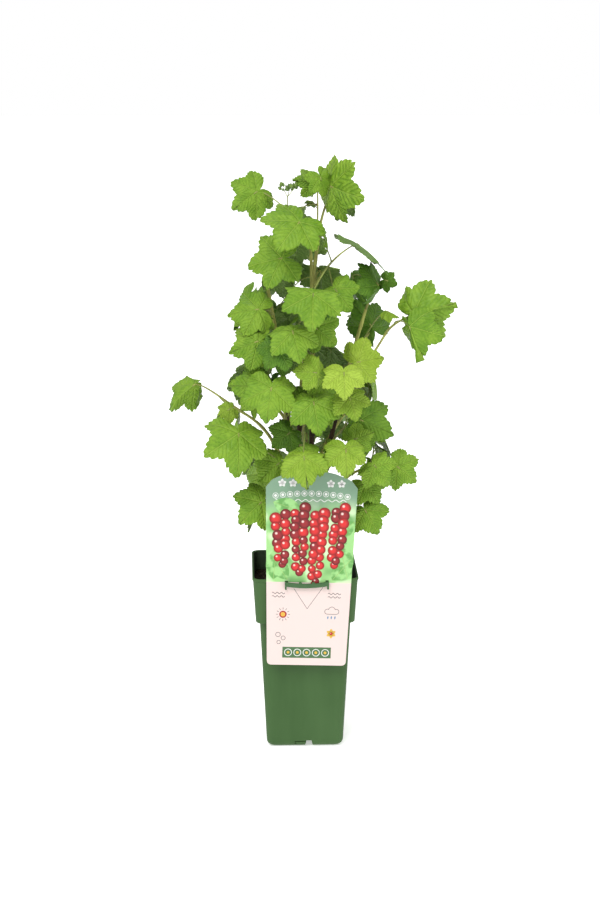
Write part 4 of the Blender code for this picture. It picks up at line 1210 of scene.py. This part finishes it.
PAPER_THICK = 0.00030

# How one blade holds itself: its folds in degrees, its droop and waves, and its uneven lobes.
Bearing = namedtuple("Bearing", "fold_left fold_right fold_back droop wave uneven phase")


def leaf_reach(angle, uneven, teeth):
    """How far the blade reaches at an angle from its tip, as a share of its length."""
    turn = abs(angle + 5 * uneven * sin(radians(2 * angle)))
    reach = FINE_EDGE[-1][1]
    for (low, first), (high, last) in zip(FINE_EDGE, FINE_EDGE[1:]):
        if low <= turn <= high:
            reach = first + (last - first) * (turn - low) / (high - low)
            break
    tooth = sin(pi * ((angle * teeth / 360) % 1))
    larger = 0.65 + 0.35 * sin(radians(angle) * teeth / 3)
    side = 1 + 0.07 * uneven * sin(radians(angle))
    return reach * side * (1.02 - TOOTH_DEPTH * larger * (1 - tooth))


def hinge(across, lift, turn):
    """Swing a place down round a line by some degrees."""
    turn = radians(turn)
    return across * cos(turn) + lift * sin(turn), lift * cos(turn) - across * sin(turn)


# %% Leaf sheet
def leaf_place(angle, share, bearing, teeth):
    """One place of the blade in lengths: across, ahead and up, and its flat place."""
    turn = radians(angle)
    reach = leaf_reach(angle, bearing.uneven, teeth) * share
    across, ahead = reach * sin(turn), reach * cos(turn)
    flat = (0.5 + MAP_SCALE * across, 0.5 + MAP_SCALE * ahead)
    from_vein = min(abs(abs(angle) - vein) for vein in VEIN_ANGLES)
    lift = SWELL * reach * sin(radians(min(from_vein, 29) * 90 / 29)) ** 2 - CUP * reach ** 2
    lift += ROLL * min(1.0, 1.4 * share) * noise.noise(Vector((2.4 * across, 2.4 * ahead, bearing.phase)))
    lift += bearing.wave * share ** 3 * sin(7 * turn + bearing.phase)
    wide, lift = hinge(abs(across), lift, bearing.fold_right if across > 0 else bearing.fold_left)
    if ahead < 0:
        back, lift = hinge(-ahead, lift, bearing.fold_back * min(1.0, -3 * ahead))
        ahead = -back
    lift -= bearing.droop * max(0.0, ahead - TIP_FROM) ** 2
    return (copysign(wide, across), ahead, lift), flat


def leaf_sheet(blade, chance, slot, grid, folds=None):
    """One leaf as an open sheet, in a chance bearing of currant leaves or with folds that are known."""
    chosen = (chance.uniform(*FOLD_SIDE), chance.uniform(*FOLD_SIDE), chance.uniform(*FOLD_BACK))
    bearing = Bearing(*(folds or chosen), chance.uniform(*DROOP), chance.uniform(*WAVE),
                      chance.uniform(-1, 1), chance.uniform(0, 9))
    turns, rings = grid
    tip_way, cross_way, up_way = blade_axes(blade)
    joint = Vector(blade[:3])
    points = [joint.copy()]
    flat = [(0.5, 0.5)]
    for share in rings:
        for step in range(turns):
            place, on_map = leaf_place(360 * step / turns - 180, share, bearing, turns / 4)
            across, ahead, lift = [blade.length * part for part in place]
            points.append(joint + tip_way * ahead + cross_way * across + up_way * lift)
            flat.append(on_map)
    faces = []
    for step in range(turns):
        after = (step + 1) % turns
        faces.append((0, 1 + step, 1 + after))
        for inner in range(1, len(points) - turns, turns):
            outer = inner + turns
            faces.append((inner + step, outer + step, outer + after, inner + after))
    return points, faces, flat, slot


# %% [markdown]
# The upper side is fresh green with paler veins, and the underside is duller and paler. Each
# spray is dealt from seven finishes, of which the last is for young leaves in deep pleats. Veins
# that read the place in space would run straight on from leaf to leaf. They are worked out from
# the blade's own flat map instead, so they follow the lobes on every leaf.

# %% Leaf finish
LEAF_COLOURS = {
    "bright": ((0.255, 0.400, 0.026), (0.380, 0.545, 0.060)),
    "fresh": ((0.180, 0.325, 0.018), (0.285, 0.440, 0.040)),
    "middle": ((0.118, 0.258, 0.012), (0.232, 0.398, 0.032)),
    # The deep green is partly the older leaves' own darker tone and partly painted shade; the shaded green is
    # painted shade.
    "deep": ((0.048, 0.140, 0.006), (0.110, 0.235, 0.016)),
    "grey": ((0.110, 0.210, 0.040), (0.165, 0.285, 0.066)),
    "shaded": ((0.070, 0.178, 0.008), (0.150, 0.295, 0.020)),
    "pleated": ((0.108, 0.240, 0.010), (0.262, 0.432, 0.036)),
}
BRIGHT, FRESH, MIDDLE, DEEP, GREY, SHADED, PLEATED = range(7)
UNDER_COLOUR = ((0.140, 0.245, 0.050), (0.200, 0.315, 0.078))
SIDE_VEINS = 7.5
DEEP_PLEAT = 0.50
CALM_PLEAT = 0.30


def vein_masks(place):
    """The main veins, the pillows between the side veins and the fine net, from the flat map."""
    flat = place.node("ShaderNodeUVMap", {"uv_map": "leaf"})
    across, ahead, _ = flat.axes()
    across = (across - 0.5).math("ABSOLUTE") * (1 / MAP_SCALE)
    ahead = (ahead - 0.5) * (1 / MAP_SCALE)
    angle = across.math("ARCTAN2", ahead)
    reach = (across * across + ahead * ahead).math("SQRT")
    # Past halfway between two main veins, an angle counts from the next vein.
    first = angle.math("GREATER_THAN", radians(28.5))
    second = angle.math("GREATER_THAN", radians(86.5))
    off = angle - first * radians(57) - second * radians(59)
    beside = (reach * off.math("SINE")).math("ABSOLUTE")
    wobble = flat.noise(6.0, 2.0) * 0.16
    comb = ((reach * off.math("COSINE") - beside * 0.95 + wobble) * SIDE_VEINS).math("FRACT") - 0.5
    pillow = 1.0 - (comb.math("ABSOLUTE") * 2.0).math("POWER", 2.2)
    net = flat.node("ShaderNodeTexVoronoi", {"feature": "SMOOTH_F1"},
                    {"Vector": flat, "Scale": 38.0, "Smoothness": 0.4})
    return beside.ramp(0.004, 0.020, 1.0, 0.0), pillow * beside.ramp(0.0, 0.05), net


def make_leaf(name, dark, pale, pleat=CALM_PLEAT, side=1.0):
    """A leaf's finish: mottled green, puffed between paler veins, with a fine net and painted crease shade.
    """
    material, shader, place = finish("leaf_" + name, pale, 0.5, 0.26)
    main, pillow, net = vein_masks(place)
    mottle = place.noise(16.0, 2.0) * 0.55 + place.noise(110.0, 3.0) * 0.45
    # The puffs between side veins are painted a little paler and the creases darker: painted light and shade
    # on the relief, stronger in the pleated finish.
    green = (mottle * 0.94 + pillow * (pleat / 6) + net * 0.14).ramp(0.38, 0.76).tint(dark, pale)
    vein_colour = (1.16 * pale[0] + 0.030, 1.12 * pale[1] + 0.035, 1.20 * pale[2] + 0.016)
    veins = (main * 0.80).math("MAXIMUM", pillow.ramp(0.0, 0.20, 0.24, 0.0))
    height = (pillow * pleat - main * 0.30 - net * 0.26 + mottle * 0.48) * side
    wire(shader, Base_Color=veins.tint(green, vein_colour), Roughness=mottle * 0.16 + net * 0.10 + 0.38,
         Normal=height.bump(0.90, 0.0022))
    return material


leaf_tops = [make_leaf(name, *pair, DEEP_PLEAT if name == "pleated" else CALM_PLEAT)
             for name, pair in LEAF_COLOURS.items()]
leaf_finishes = leaf_tops + [make_leaf("under", *UNDER_COLOUR, side=-1.0)] * len(leaf_tops)
print("leaf finishes:", ", ".join(LEAF_COLOURS))

# %% [markdown]
# Sprays keep to the colours that they show on the bush: the freshest ones in front are bright, and
# those inside or behind are deeper, partly in their own older green and partly in painted shade. The
# shaded green is painted shade as well. The rest get the middle green, because chance alone would
# mix bright and deep leaves evenly, as no bush does. Each leaf holds itself a little differently,
# and leading ones that are clearly folded have their folds written down: left half, right half and
# the part behind the joint, in degrees.

# %% Colours and folds by spray
# Deep and shaded greens here stand partly for painted shade on leaves inside and behind the crown.
SPRAY_COLOURS = {
    "crown_top": (PLEATED, MIDDLE), "crown_tip": (PLEATED, MIDDLE), "high_centre": (GREY, MIDDLE),
    "high_right": (DEEP, DEEP), "upper_right": (DEEP, FRESH), "centre": (MIDDLE, FRESH),
    "lower_left": (MIDDLE, DEEP), "far_left": (MIDDLE, FRESH), "middle_right": (BRIGHT, BRIGHT),
    "lower_right": (SHADED, FRESH), "low_right": (FRESH, MIDDLE), "low_centre": (MIDDLE, FRESH),
}
REST_COLOURS = (MIDDLE, MIDDLE, DEEP)
YOUNG_COLOURS = (FRESH, MIDDLE)
SPRAY_SEED = 900
FOLDS = {
    "crown_top": ((8, 0, 20), None), "crown_tip": ((38, 24, 40), None), "crown_left": ((0, 0, 10), None),
    "high_centre": ((4, 4, 8), None), "upper_left": ((4, 16, 30), None),
    "high_right": ((20, 5, 45), (40, 62, 40)), "far_right": ((40, 6, 35), (70, 4, 30)),
    "far_left": ((30, 100, 54), (20, 20, 30)), "low_left": ((2, 8, 30), (10, 20, 40)),
    "upper_right": ((36, 40, 20), (30, 55, 30)),
}


def spray(name):
    """All leaf sheets of one shoot."""
    chance = random.Random(SPRAY_SEED + MASSES[name].seed)
    lead_slot, side_slot = SPRAY_COLOURS.get(name, (MIDDLE, MIDDLE))
    lead_folds, side_folds = FOLDS.get(name, (None, None))
    sheets = [leaf_sheet(shoots[name].lead, chance, lead_slot, LEAF_GRID, lead_folds)]
    for _, _, blade in shoots[name].others:
        if blade.x == MASSES[name].side.x:
            sheets.append(leaf_sheet(blade, chance, side_slot, LEAF_GRID, side_folds))
        else:
            sheets.append(leaf_sheet(blade, chance, chance.choice(REST_COLOURS), LEAF_GRID))
    for leaves, colours, grid in ((middling, REST_COLOURS, SMALL_GRID), (young, YOUNG_COLOURS, YOUNG_GRID)):
        sheets += [leaf_sheet(blade, chance, chance.choice(colours), grid) for _, _, blade in leaves[name]]
    return sheets


# %% [markdown]
# All sprays that grow from one limb become one piece. A piece for each leaf would make hundreds,
# and one for the whole crown would be too heavy to handle. A thin Solidify gives the blades their
# thickness and the underside its own finish, which is less work than a second sheet.

# %% Leaves as pieces
SHOOTS_ON = {limb: [name for name, mass in MASSES.items() if mass.host == limb] for limb in limb_lines}

for limb, names in SHOOTS_ON.items():
    sheets = [sheet for name in names for sheet in spray(name)]
    leaves = gather("leaves_on_" + limb, sheets, leaf_finishes, flat_map="leaf")
    thicken(leaves, PAPER_THICK, len(leaf_tops))
    finish_piece(leaves, "foliage", *["leaves_" + name for name in names])

# %% [markdown]
# ## Stems and stalks
#
# A shoot's stem is green and as thick as a pencil lead, and each leaf hangs on a thin stalk that
# widens at its foot. Small buds sit where the stalks leave. Stems and stalks could be merged into
# one branching skin. Tubes that start a little inside what carries them look the same at this
# size, and they can't tear.

# %% Stem shapes
STEM_RINGS = 22
STEM_FINE = 10
STALK_RINGS = 14
STALK_FINE = 7
STEM_THICK = 0.00165
FULL_LEAF = 0.036
STALK_THIN = 0.00072
STALK_FOOT = 0.00120
YOUNG_THIN = 0.00042
BUD_LENGTH = 0.0034
BUD_SEED = 77


def fine_stem(shoot):
    """The shoot's stem and leading stalk as a smooth tube."""
    path = stalk_path(shoot.foot - shoot.way * SHOOT_SUNK, shoot.way, shoot.lead, STEM_RINGS)
    foot = STEM_THICK * min(1.0, shoot.lead.length / FULL_LEAF)
    radii = [foot + (STALK_THIN - foot) * min(1.0, 1.25 * step / len(path)) for step in range(len(path))]
    return (*tube(path, radii, STEM_FINE, shoot.way), 0)


def fine_stalk(place, way, blade, thin=STALK_THIN):
    """One leaf's stalk, wider at its foot."""
    path = stalk_path(place, way, blade, STALK_RINGS)
    radii = [thin + (STALK_FOOT * thin / STALK_THIN - thin) * max(0.0, 1 - 5 * step / len(path)) ** 2
             for step in range(len(path))]
    return (*tube(path, radii, STALK_FINE), 1)


deselect()
bpy.ops.mesh.primitive_uv_sphere_add(segments=8, ring_count=6, radius=0.5)
bud_points, bud_faces = lift_shape(bpy.context.object)
print("faces of a bud:", len(bud_faces))


def bud(place, way, length, slot=2):
    """A pointed bud that leans along a way."""
    turn = way.to_track_quat("Z", "Y").to_matrix()
    points = []
    for point in bud_points:
        rise = point.z + 0.5
        width = 0.55 * (1 - 0.75 * rise ** 2)
        shape = Vector((point.x * width * 1.3, point.y * width * 1.3, rise * 0.95))
        points.append(place + turn @ shape * length)
    return points, bud_faces, slot


# %% Stem finishes
STEM_GREEN = ((0.215, 0.215, 0.058), (0.385, 0.415, 0.105))
STALK_GREEN = ((0.165, 0.185, 0.050), (0.310, 0.375, 0.090))
BUD_BROWN = ((0.110, 0.060, 0.030), (0.200, 0.170, 0.060))
BUD_GREEN = ((0.080, 0.160, 0.030), (0.170, 0.260, 0.050))


def make_green_wood(name, dark, pale):
    """A soft green skin with fine upright streaks."""
    material, shader, place = finish(name, pale, 0.5, 0.35)
    streaks = place.stretched(500, 500, 90).noise(1.0, 3.0)
    mix = (streaks * 0.5 + place.noise(70.0, 2.0) * 0.5).ramp(0.35, 0.65)
    wire(shader, Base_Color=mix.tint(dark, pale), Normal=streaks.bump(0.25, 0.0004))
    return material


stem_finishes = [make_green_wood("stem_green", *STEM_GREEN), make_green_wood("stalk_green", *STALK_GREEN),
                 make_green_wood("bud_brown", *BUD_BROWN)]
for limb, names in SHOOTS_ON.items():
    shapes = []
    for name in names:
        shapes.append(fine_stem(shoots[name]))
        chance = random.Random(BUD_SEED + MASSES[name].seed)
        for place, way, blade in shoots[name].others + middling[name]:
            shapes.append(fine_stalk(place, way, blade))
            shapes.append(bud(place, (way + LIFT).normalized(), BUD_LENGTH * chance.uniform(0.8, 1.2)))
        shapes += [fine_stalk(*leaf, YOUNG_THIN) for leaf in young[name]]
    stems = gather("stems_on_" + limb, shapes, stem_finishes)
    finish_piece(stems, "foliage", *["leaves_" + name for name in names])

# %% [markdown]
# ## The label
#
# The label is a stiff card, die cut and printed in colour, with a satin coat. A picture could be
# laid on it, but it would need a file and blur near the lens. So the ground of the print is one
# finish that reads the place on the card: a pale pink lower half, and above it a blurred garden
# green that turns grey toward the head. The back is plain. The card itself has the right shape.

# %% Label ground
LABEL_FOOT = Vector((0.0005, 0.0, 0.1065))
LEAN_SIN = sin(radians(1.7))
LEAN_COS = cos(radians(1.7))
LABEL_FACE = -0.0611
LABEL_FOLD = 0.098
INK_STEP = 0.00002
PINK = (0.775, 0.630, 0.595)
CARD_BACK = (0.820, 0.780, 0.740)
GARDEN_DARK = (0.165, 0.400, 0.120)
GARDEN_MIDDLE = (0.330, 0.640, 0.230)
GARDEN_PALE = (0.640, 0.850, 0.500)
HEAD_GREY = (0.205, 0.345, 0.230)


def satin(place):
    """The slightly uneven sheen of the coat."""
    return place.noise(160.0, 2.0).ramp(0.3, 0.7, 0.34, 0.44)


printed, card_shader, place = finish("printed_card", PINK, 0.38, 0.45)
x, depth, z = place.axes()
up = (x - LABEL_FOOT.x) * LEAN_SIN + (z - LABEL_FOOT.z) * LEAN_COS
blots = place.noise(34.0, 1.0)
garden = blots.ramp(0.36, 0.50).tint(GARDEN_DARK, GARDEN_MIDDLE)
garden = place.noise(47.0, 0.5).ramp(0.50, 0.62).tint(garden, GARDEN_PALE)
head = (up + blots * 0.02).ramp(0.178, 0.212).tint(garden, HEAD_GREY)
card_front = up.ramp(LABEL_FOLD - 0.0003, LABEL_FOLD + 0.0003).tint(PINK, head)
from_face = depth.ramp(LABEL_FACE + 0.0002, LABEL_FACE + 0.0005, 0.0, 1.0)
wire(card_shader, Base_Color=from_face.tint(card_front, CARD_BACK), Roughness=satin(place))
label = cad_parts["label"]
for slot in label.material_slots:
    slot.material = printed
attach(label, BODY)
print("finish of the label:", printed.name)

# %% [markdown]
# The motifs are laid on as inks, each a film that lies a few hundredths of a millimetre in front
# of the one below. They could be masks in the card's finish, but so many shapes would make that
# network very long. A disc, a leaf and a ribbon are all the shapes that the design needs.

# %% Ink shapes
RED, DARK_RED, LEAF_INK, RIB_INK, GREY_INK, WHITE_INK, GOLD_INK, RING_INK, BLUE_INK = range(9)
ROUND_STEPS = 28
LINE = 0.0006
inks = []


def on_card(across, up, level):
    """A place on the card's face, some ink films in front of it."""
    return Vector((LABEL_FOOT.x + across * LEAN_COS + up * LEAN_SIN, LABEL_FACE - INK_STEP * level,
                   LABEL_FOOT.z - across * LEAN_SIN + up * LEAN_COS))


def around(middle, radius, turn):
    """A place on a circle."""
    return middle[0] + radius * cos(turn), middle[1] + radius * sin(turn)


def fan(places, middle, level, slot):
    """A filled shape round a middle, with a flat map that runs from there."""
    points = [on_card(*place, level) for place in [middle, *places]]
    faces = [(0, 1 + step, 1 + (step + 1) % len(places)) for step in range(len(places))]
    reach = max(dist(place, middle) for place in places)
    flat = [(0.5, 0.5)] + [(0.5 + 0.5 * (across - middle[0]) / reach, 0.5 + 0.5 * (up - middle[1]) / reach)
                           for across, up in places]
    inks.append((points, faces, flat, slot))


def disc(middle, radius, level, slot, sides=ROUND_STEPS):
    """A filled disc."""
    fan([around(middle, radius, tau * step / sides) for step in range(sides)], middle, level, slot)


def leaf_ink(across, up, turn, length, wide, level, slot):
    """A pointed oval that starts at a place and runs along a turn in degrees."""
    way = (sin(radians(turn)), cos(radians(turn)))
    shape = []
    for step in range(ROUND_STEPS):
        share = step / ROUND_STEPS * 2
        run = share if share <= 1 else 2 - share
        side = wide * sin(pi * run) ** 0.8 * (1 if share <= 1 else -1)
        shape.append((across + way[0] * length * run - way[1] * side,
                      up + way[1] * length * run + way[0] * side))
    fan(shape[::-1], (across + way[0] * length / 2, up + way[1] * length / 2), level, slot)
    return across + way[0] * length, up + way[1] * length


def ribbon(places, width=LINE, level=1, slot=GREY_INK):
    """A line of even width through some places."""
    points = []
    for index, (across, up) in enumerate(places):
        before = places[max(0, index - 1)]
        after = places[min(len(places) - 1, index + 1)]
        reach = dist(before, after)
        aside = (before[1] - after[1]) / reach * width / 2
        above = (after[0] - before[0]) / reach * width / 2
        points += [on_card(across + side * aside, up + side * above, level) for side in (-1, 1)]
    faces = [(step, step + 2, step + 3, step + 1) for step in range(0, len(points) - 2, 2)]
    inks.append((points, faces, [(0.5, 0.5)] * len(points), slot))


def ring(middle, radius, width=LINE, level=1, slot=GREY_INK):
    """A thin ring."""
    turns = [tau * step / ROUND_STEPS for step in range(ROUND_STEPS + 1)]
    ribbon([around(middle, radius, turn) for turn in turns], width, level, slot)


# %% [markdown]
# The design has four hanging strings of round berries with plain leaves behind them, a garland
# in the head, and a few small drawings with a band of rings in the lower half. The berries could
# be placed one by one. They are strung in pairs along a stalk with a seeded chance, because that is
# how they grow, and the same seed always gives the same print.

# %% Design
BERRY = 0.0064
BERRY_ASIDE = 0.0054
LAST_ASIDE = 0.002
DARK_SHARE = 0.35
STRING_THINS = 0.3
STRING_GAP = 0.0088
STRINGS = ((-0.0345, 0.178, 7, 0.6), (-0.0125, 0.186, 9, 0.2),
           (0.0105, 0.182, 10, -0.4), (0.0335, 0.188, 8, -0.6))
DESIGN_SEED = 5
PRINT_LEAVES = ((-0.040, 0.101, 4, 0.036, 0.010), (0.043, 0.104, -14, 0.050, 0.012),
                (0.026, 0.101, 40, 0.032, 0.010), (-0.010, 0.180, -72, 0.034, 0.010),
                (0.026, 0.150, 50, 0.030, 0.009), (-0.024, 0.101, -34, 0.030, 0.009))
chance = random.Random(DESIGN_SEED)
for order, (across, up, turn, length, wide) in enumerate(PRINT_LEAVES):
    tip = leaf_ink(across, up, turn, length, wide, 1 + order, LEAF_INK)
    ribbon([(across, up), tip], 0.0005, 7, RIB_INK)
for order, (across, top, count, lean) in enumerate(STRINGS):
    stalk = [(across + lean * 0.001 * step, top + 0.004 - STRING_GAP * step) for step in range(count + 1)]
    lowest = 8 + 7 * (order % 2)
    ribbon(stalk, 0.0009, lowest, RIB_INK)
    for step, (place, height) in enumerate(stalk[1:]):
        shrink = 1 - STRING_THINS * step / count
        aside = BERRY_ASIDE if step < count - 1 else LAST_ASIDE
        for side in (-1, 1):
            reach = aside * shrink + chance.uniform(-0.0014, 0.0008)
            rise = height + chance.uniform(-0.0016, 0.0016) + 0.0022 * side
            slot = DARK_RED if chance.random() < DARK_SHARE else RED
            level = lowest + 1 + 2 * (step % 3) + (side > 0)
            disc((place + side * reach, rise), BERRY * shrink * chance.uniform(0.86, 1.1), level, slot)
for step in range(11):
    share = step / 5 - 1
    place = (share * 0.040, 0.2010 - 0.003 * share * share)
    disc(place, 0.0016, 1, WHITE_INK, 14)
    ring(place, 0.0030, slot=WHITE_INK)
wave = [(-0.040 + 0.0012 * step, 0.1930 + 0.0012 * cos(step * 0.9)) for step in range(67)]
ribbon(wave, 0.0008, slot=WHITE_INK)
for across in (-0.021, -0.033, 0.021, 0.033):
    for petal in range(5):
        leaf_ink(across, 0.2125, 72 * petal, 0.0048, 0.0017, 1, WHITE_INK)

# %% Small drawings
SUN = (-0.028, 0.060)
CLOUD = (0.027, 0.064)
FLOWER = (0.027, 0.038)
BAND = 0.0150
disc(SUN, 0.0042, 1, RED)
disc(SUN, 0.0026, 2, GOLD_INK)
for ray in range(12):
    ribbon([around(SUN, reach, tau * ray / 12) for reach in (0.0056, 0.0080)])
for first, last, across, up, radius in ((60, 260, -0.005, 0.0, 0.0030), (10, 170, 0.0, 0.0018, 0.0038),
                                        (-80, 120, 0.005, 0.0, 0.0030)):
    turns = [radians(first + (last - first) * step / 12) for step in range(13)]
    ribbon([around((CLOUD[0] + across, CLOUD[1] + up), radius, turn) for turn in turns])
ribbon([(CLOUD[0] - 0.0055, CLOUD[1] - 0.003), (CLOUD[0] + 0.0055, CLOUD[1] - 0.003)])
for across in (-0.004, 0.0, 0.004):
    leaf_ink(CLOUD[0] + across, CLOUD[1] - 0.0050, 188, 0.0042, 0.0009, 1, BLUE_INK)
for petal in range(6):
    leaf_ink(*FLOWER, 60 * petal, 0.0058, 0.0018, 1, GOLD_INK)
disc(FLOWER, 0.0018, 2, RED, 12)
for order, middle in enumerate(((-0.033, 0.036), (-0.027, 0.032), (-0.032, 0.027))):
    ring(middle, 0.0026 - 0.0003 * order)
for rise in (0.085, 0.081):
    for across in (-0.041, 0.022):
        ribbon([(across + LINE * step, rise + 0.0009 * sin(step * 0.8)) for step in range(25)], 0.0007)
ribbon([(-0.0275, BAND), (0.0275, BAND)], 0.0130, 1, RING_INK)
for step in range(5):
    ring(((step - 2) * 0.0105, BAND), 0.0040, 0.0008, 2, WHITE_INK)
    disc(((step - 2) * 0.0105, BAND), 0.0016, 2, GOLD_INK, 14)
for end in ((-0.0165, 0.0905), (0.0160, 0.0925)):
    ribbon(sorted([end, (-0.0010, 0.0670)]), 0.0005)
print("ink shapes:", len(inks))

# %% [markdown]
# The berries have a darker rim and a pale gleam. Round beads would get theirs from the lamps, but
# on a printed card the gleam stays where it is. So both come from the flat map of each disc. The
# other inks are plain colours.

# %% Inks
INK_COLOURS = {
    RED: (0.600, 0.012, 0.012), DARK_RED: (0.275, 0.006, 0.010), LEAF_INK: (0.130, 0.370, 0.085),
    RIB_INK: (0.330, 0.520, 0.150), GREY_INK: (0.105, 0.105, 0.100), WHITE_INK: (0.800, 0.810, 0.780),
    GOLD_INK: (0.700, 0.430, 0.055), RING_INK: (0.062, 0.150, 0.055), BLUE_INK: (0.160, 0.290, 0.420),
}
GLEAM = (0.900, 0.680, 0.620)


def make_ink(slot, colour):
    """One printed colour; the reds get a rim and a gleam."""
    material, shader, place = finish(f"ink_{slot}", colour, 0.38, 0.45)
    if slot in (RED, DARK_RED):
        across, up, _ = place.node("ShaderNodeUVMap", {"uv_map": "ink"}).axes()
        from_middle, from_gleam = [
            ((across - side) * (across - side) + (up - rise) * (up - rise)).math("SQRT")
            for side, rise in ((0.5, 0.5), (0.36, 0.66))]
        pale = tuple(min(1.0, 1.12 * part + 0.008) for part in colour)
        body = from_middle.ramp(0.16, 0.52).tint(pale, scaled(colour, 0.42))
        wire(shader, Base_Color=from_gleam.ramp(0.05, 0.16, 0.95, 0.0).tint(body, GLEAM))
    elif slot == LEAF_INK:
        wire(shader, Base_Color=place.noise(120.0, 2.0).ramp(0.4, 0.6).tint(colour, GARDEN_MIDDLE))
    else:
        wire(shader, Roughness=satin(place))
    return material


ink_finishes = [make_ink(slot, colour) for slot, colour in INK_COLOURS.items()]
prints = gather("label_print", inks, ink_finishes, smooth=False, flat_map="ink")
thicken(prints, INK_STEP * 0.6)
finish_piece(prints, "card")

# %% [markdown]
# ## The clip
#
# The clip is a bowed bar of the same green plastic, moulded with two pegs that go through the
# card. It could be modelled anew from a cube, but the plain one already has the right bow and pegs.
# So a copy of it is cleaned, and its edges are softened, as they would be in the mould.

# %% Clip
CLIP_EDGE = 0.0004
CLIP_GREEN = (0.040, 0.100, 0.036)
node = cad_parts["label_clip"]
clip = add_object("moulded_clip", node.data.copy())
clip.data.name = "moulded_clip"
clip.matrix_world = node.matrix_world.copy()
settle_place(clip)
set_mode("EDIT")
select_mesh()
bpy.ops.mesh.remove_doubles(threshold=0.00001)
bpy.ops.mesh.dissolve_limited(angle_limit=radians(1))
face_out()
soft = clip.modifiers.new("soft_edges", "BEVEL")
soft.width = CLIP_EDGE
soft.segments = 2
soft.limit_method = "ANGLE"
soft.angle_limit = radians(40)
apply_all(clip)
smooth_edges(clip, 40)
clip.data.materials.clear()
clip.data.materials.append(make_moulded("clip_plastic", CLIP_GREEN, scaled(CLIP_GREEN, 1.5)))
finish_piece(clip, "pot_green", "label_clip")

# %% [markdown]
# ## Flower buds
#
# A young shoot carries a few green buds near its tip, on thin forked stalks. Each could have its
# petals, but at this size they wouldn't show. The pointed bud of the stems serves again, with a
# few copies round the end of each fork.

# %% Flower buds
BUD_STALK = ((-0.0187, -0.015, 0.6150), (-0.0187, -0.015, 0.6303))
BUD_FORKS = ((-0.0236, -0.015, 0.6400), (-0.0118, -0.015, 0.6390), (-0.0165, -0.012, 0.6375))
FLOWER_BUD = 0.0052
BUDS_EACH = 8
BUD_SPREAD = 0.0026
FLOWER_SEED = 21


def thin_line(first, last, radius):
    """A short tube between two places."""
    return (*even_tube(bend(first, last, (0, 0, 0), 4), radius, STALK_FINE), 1)


chance = random.Random(FLOWER_SEED)
parts = [thin_line(*BUD_STALK, 0.0006)]
for fork in BUD_FORKS:
    parts.append(thin_line(BUD_STALK[1], fork, 0.0004))
    for _ in range(BUDS_EACH):
        off = Vector([chance.uniform(-1, 1) for _ in range(3)]) * BUD_SPREAD
        length = FLOWER_BUD * chance.uniform(0.8, 1.2)
        parts.append(bud(Vector(fork) + off, (off + LIFT * 0.01).normalized(), length, slot=0))
bud_green = make_green_wood("bud_green", *BUD_GREEN)
finish_piece(gather("flower_buds", parts, [bud_green, stem_finishes[1]]), "foliage")
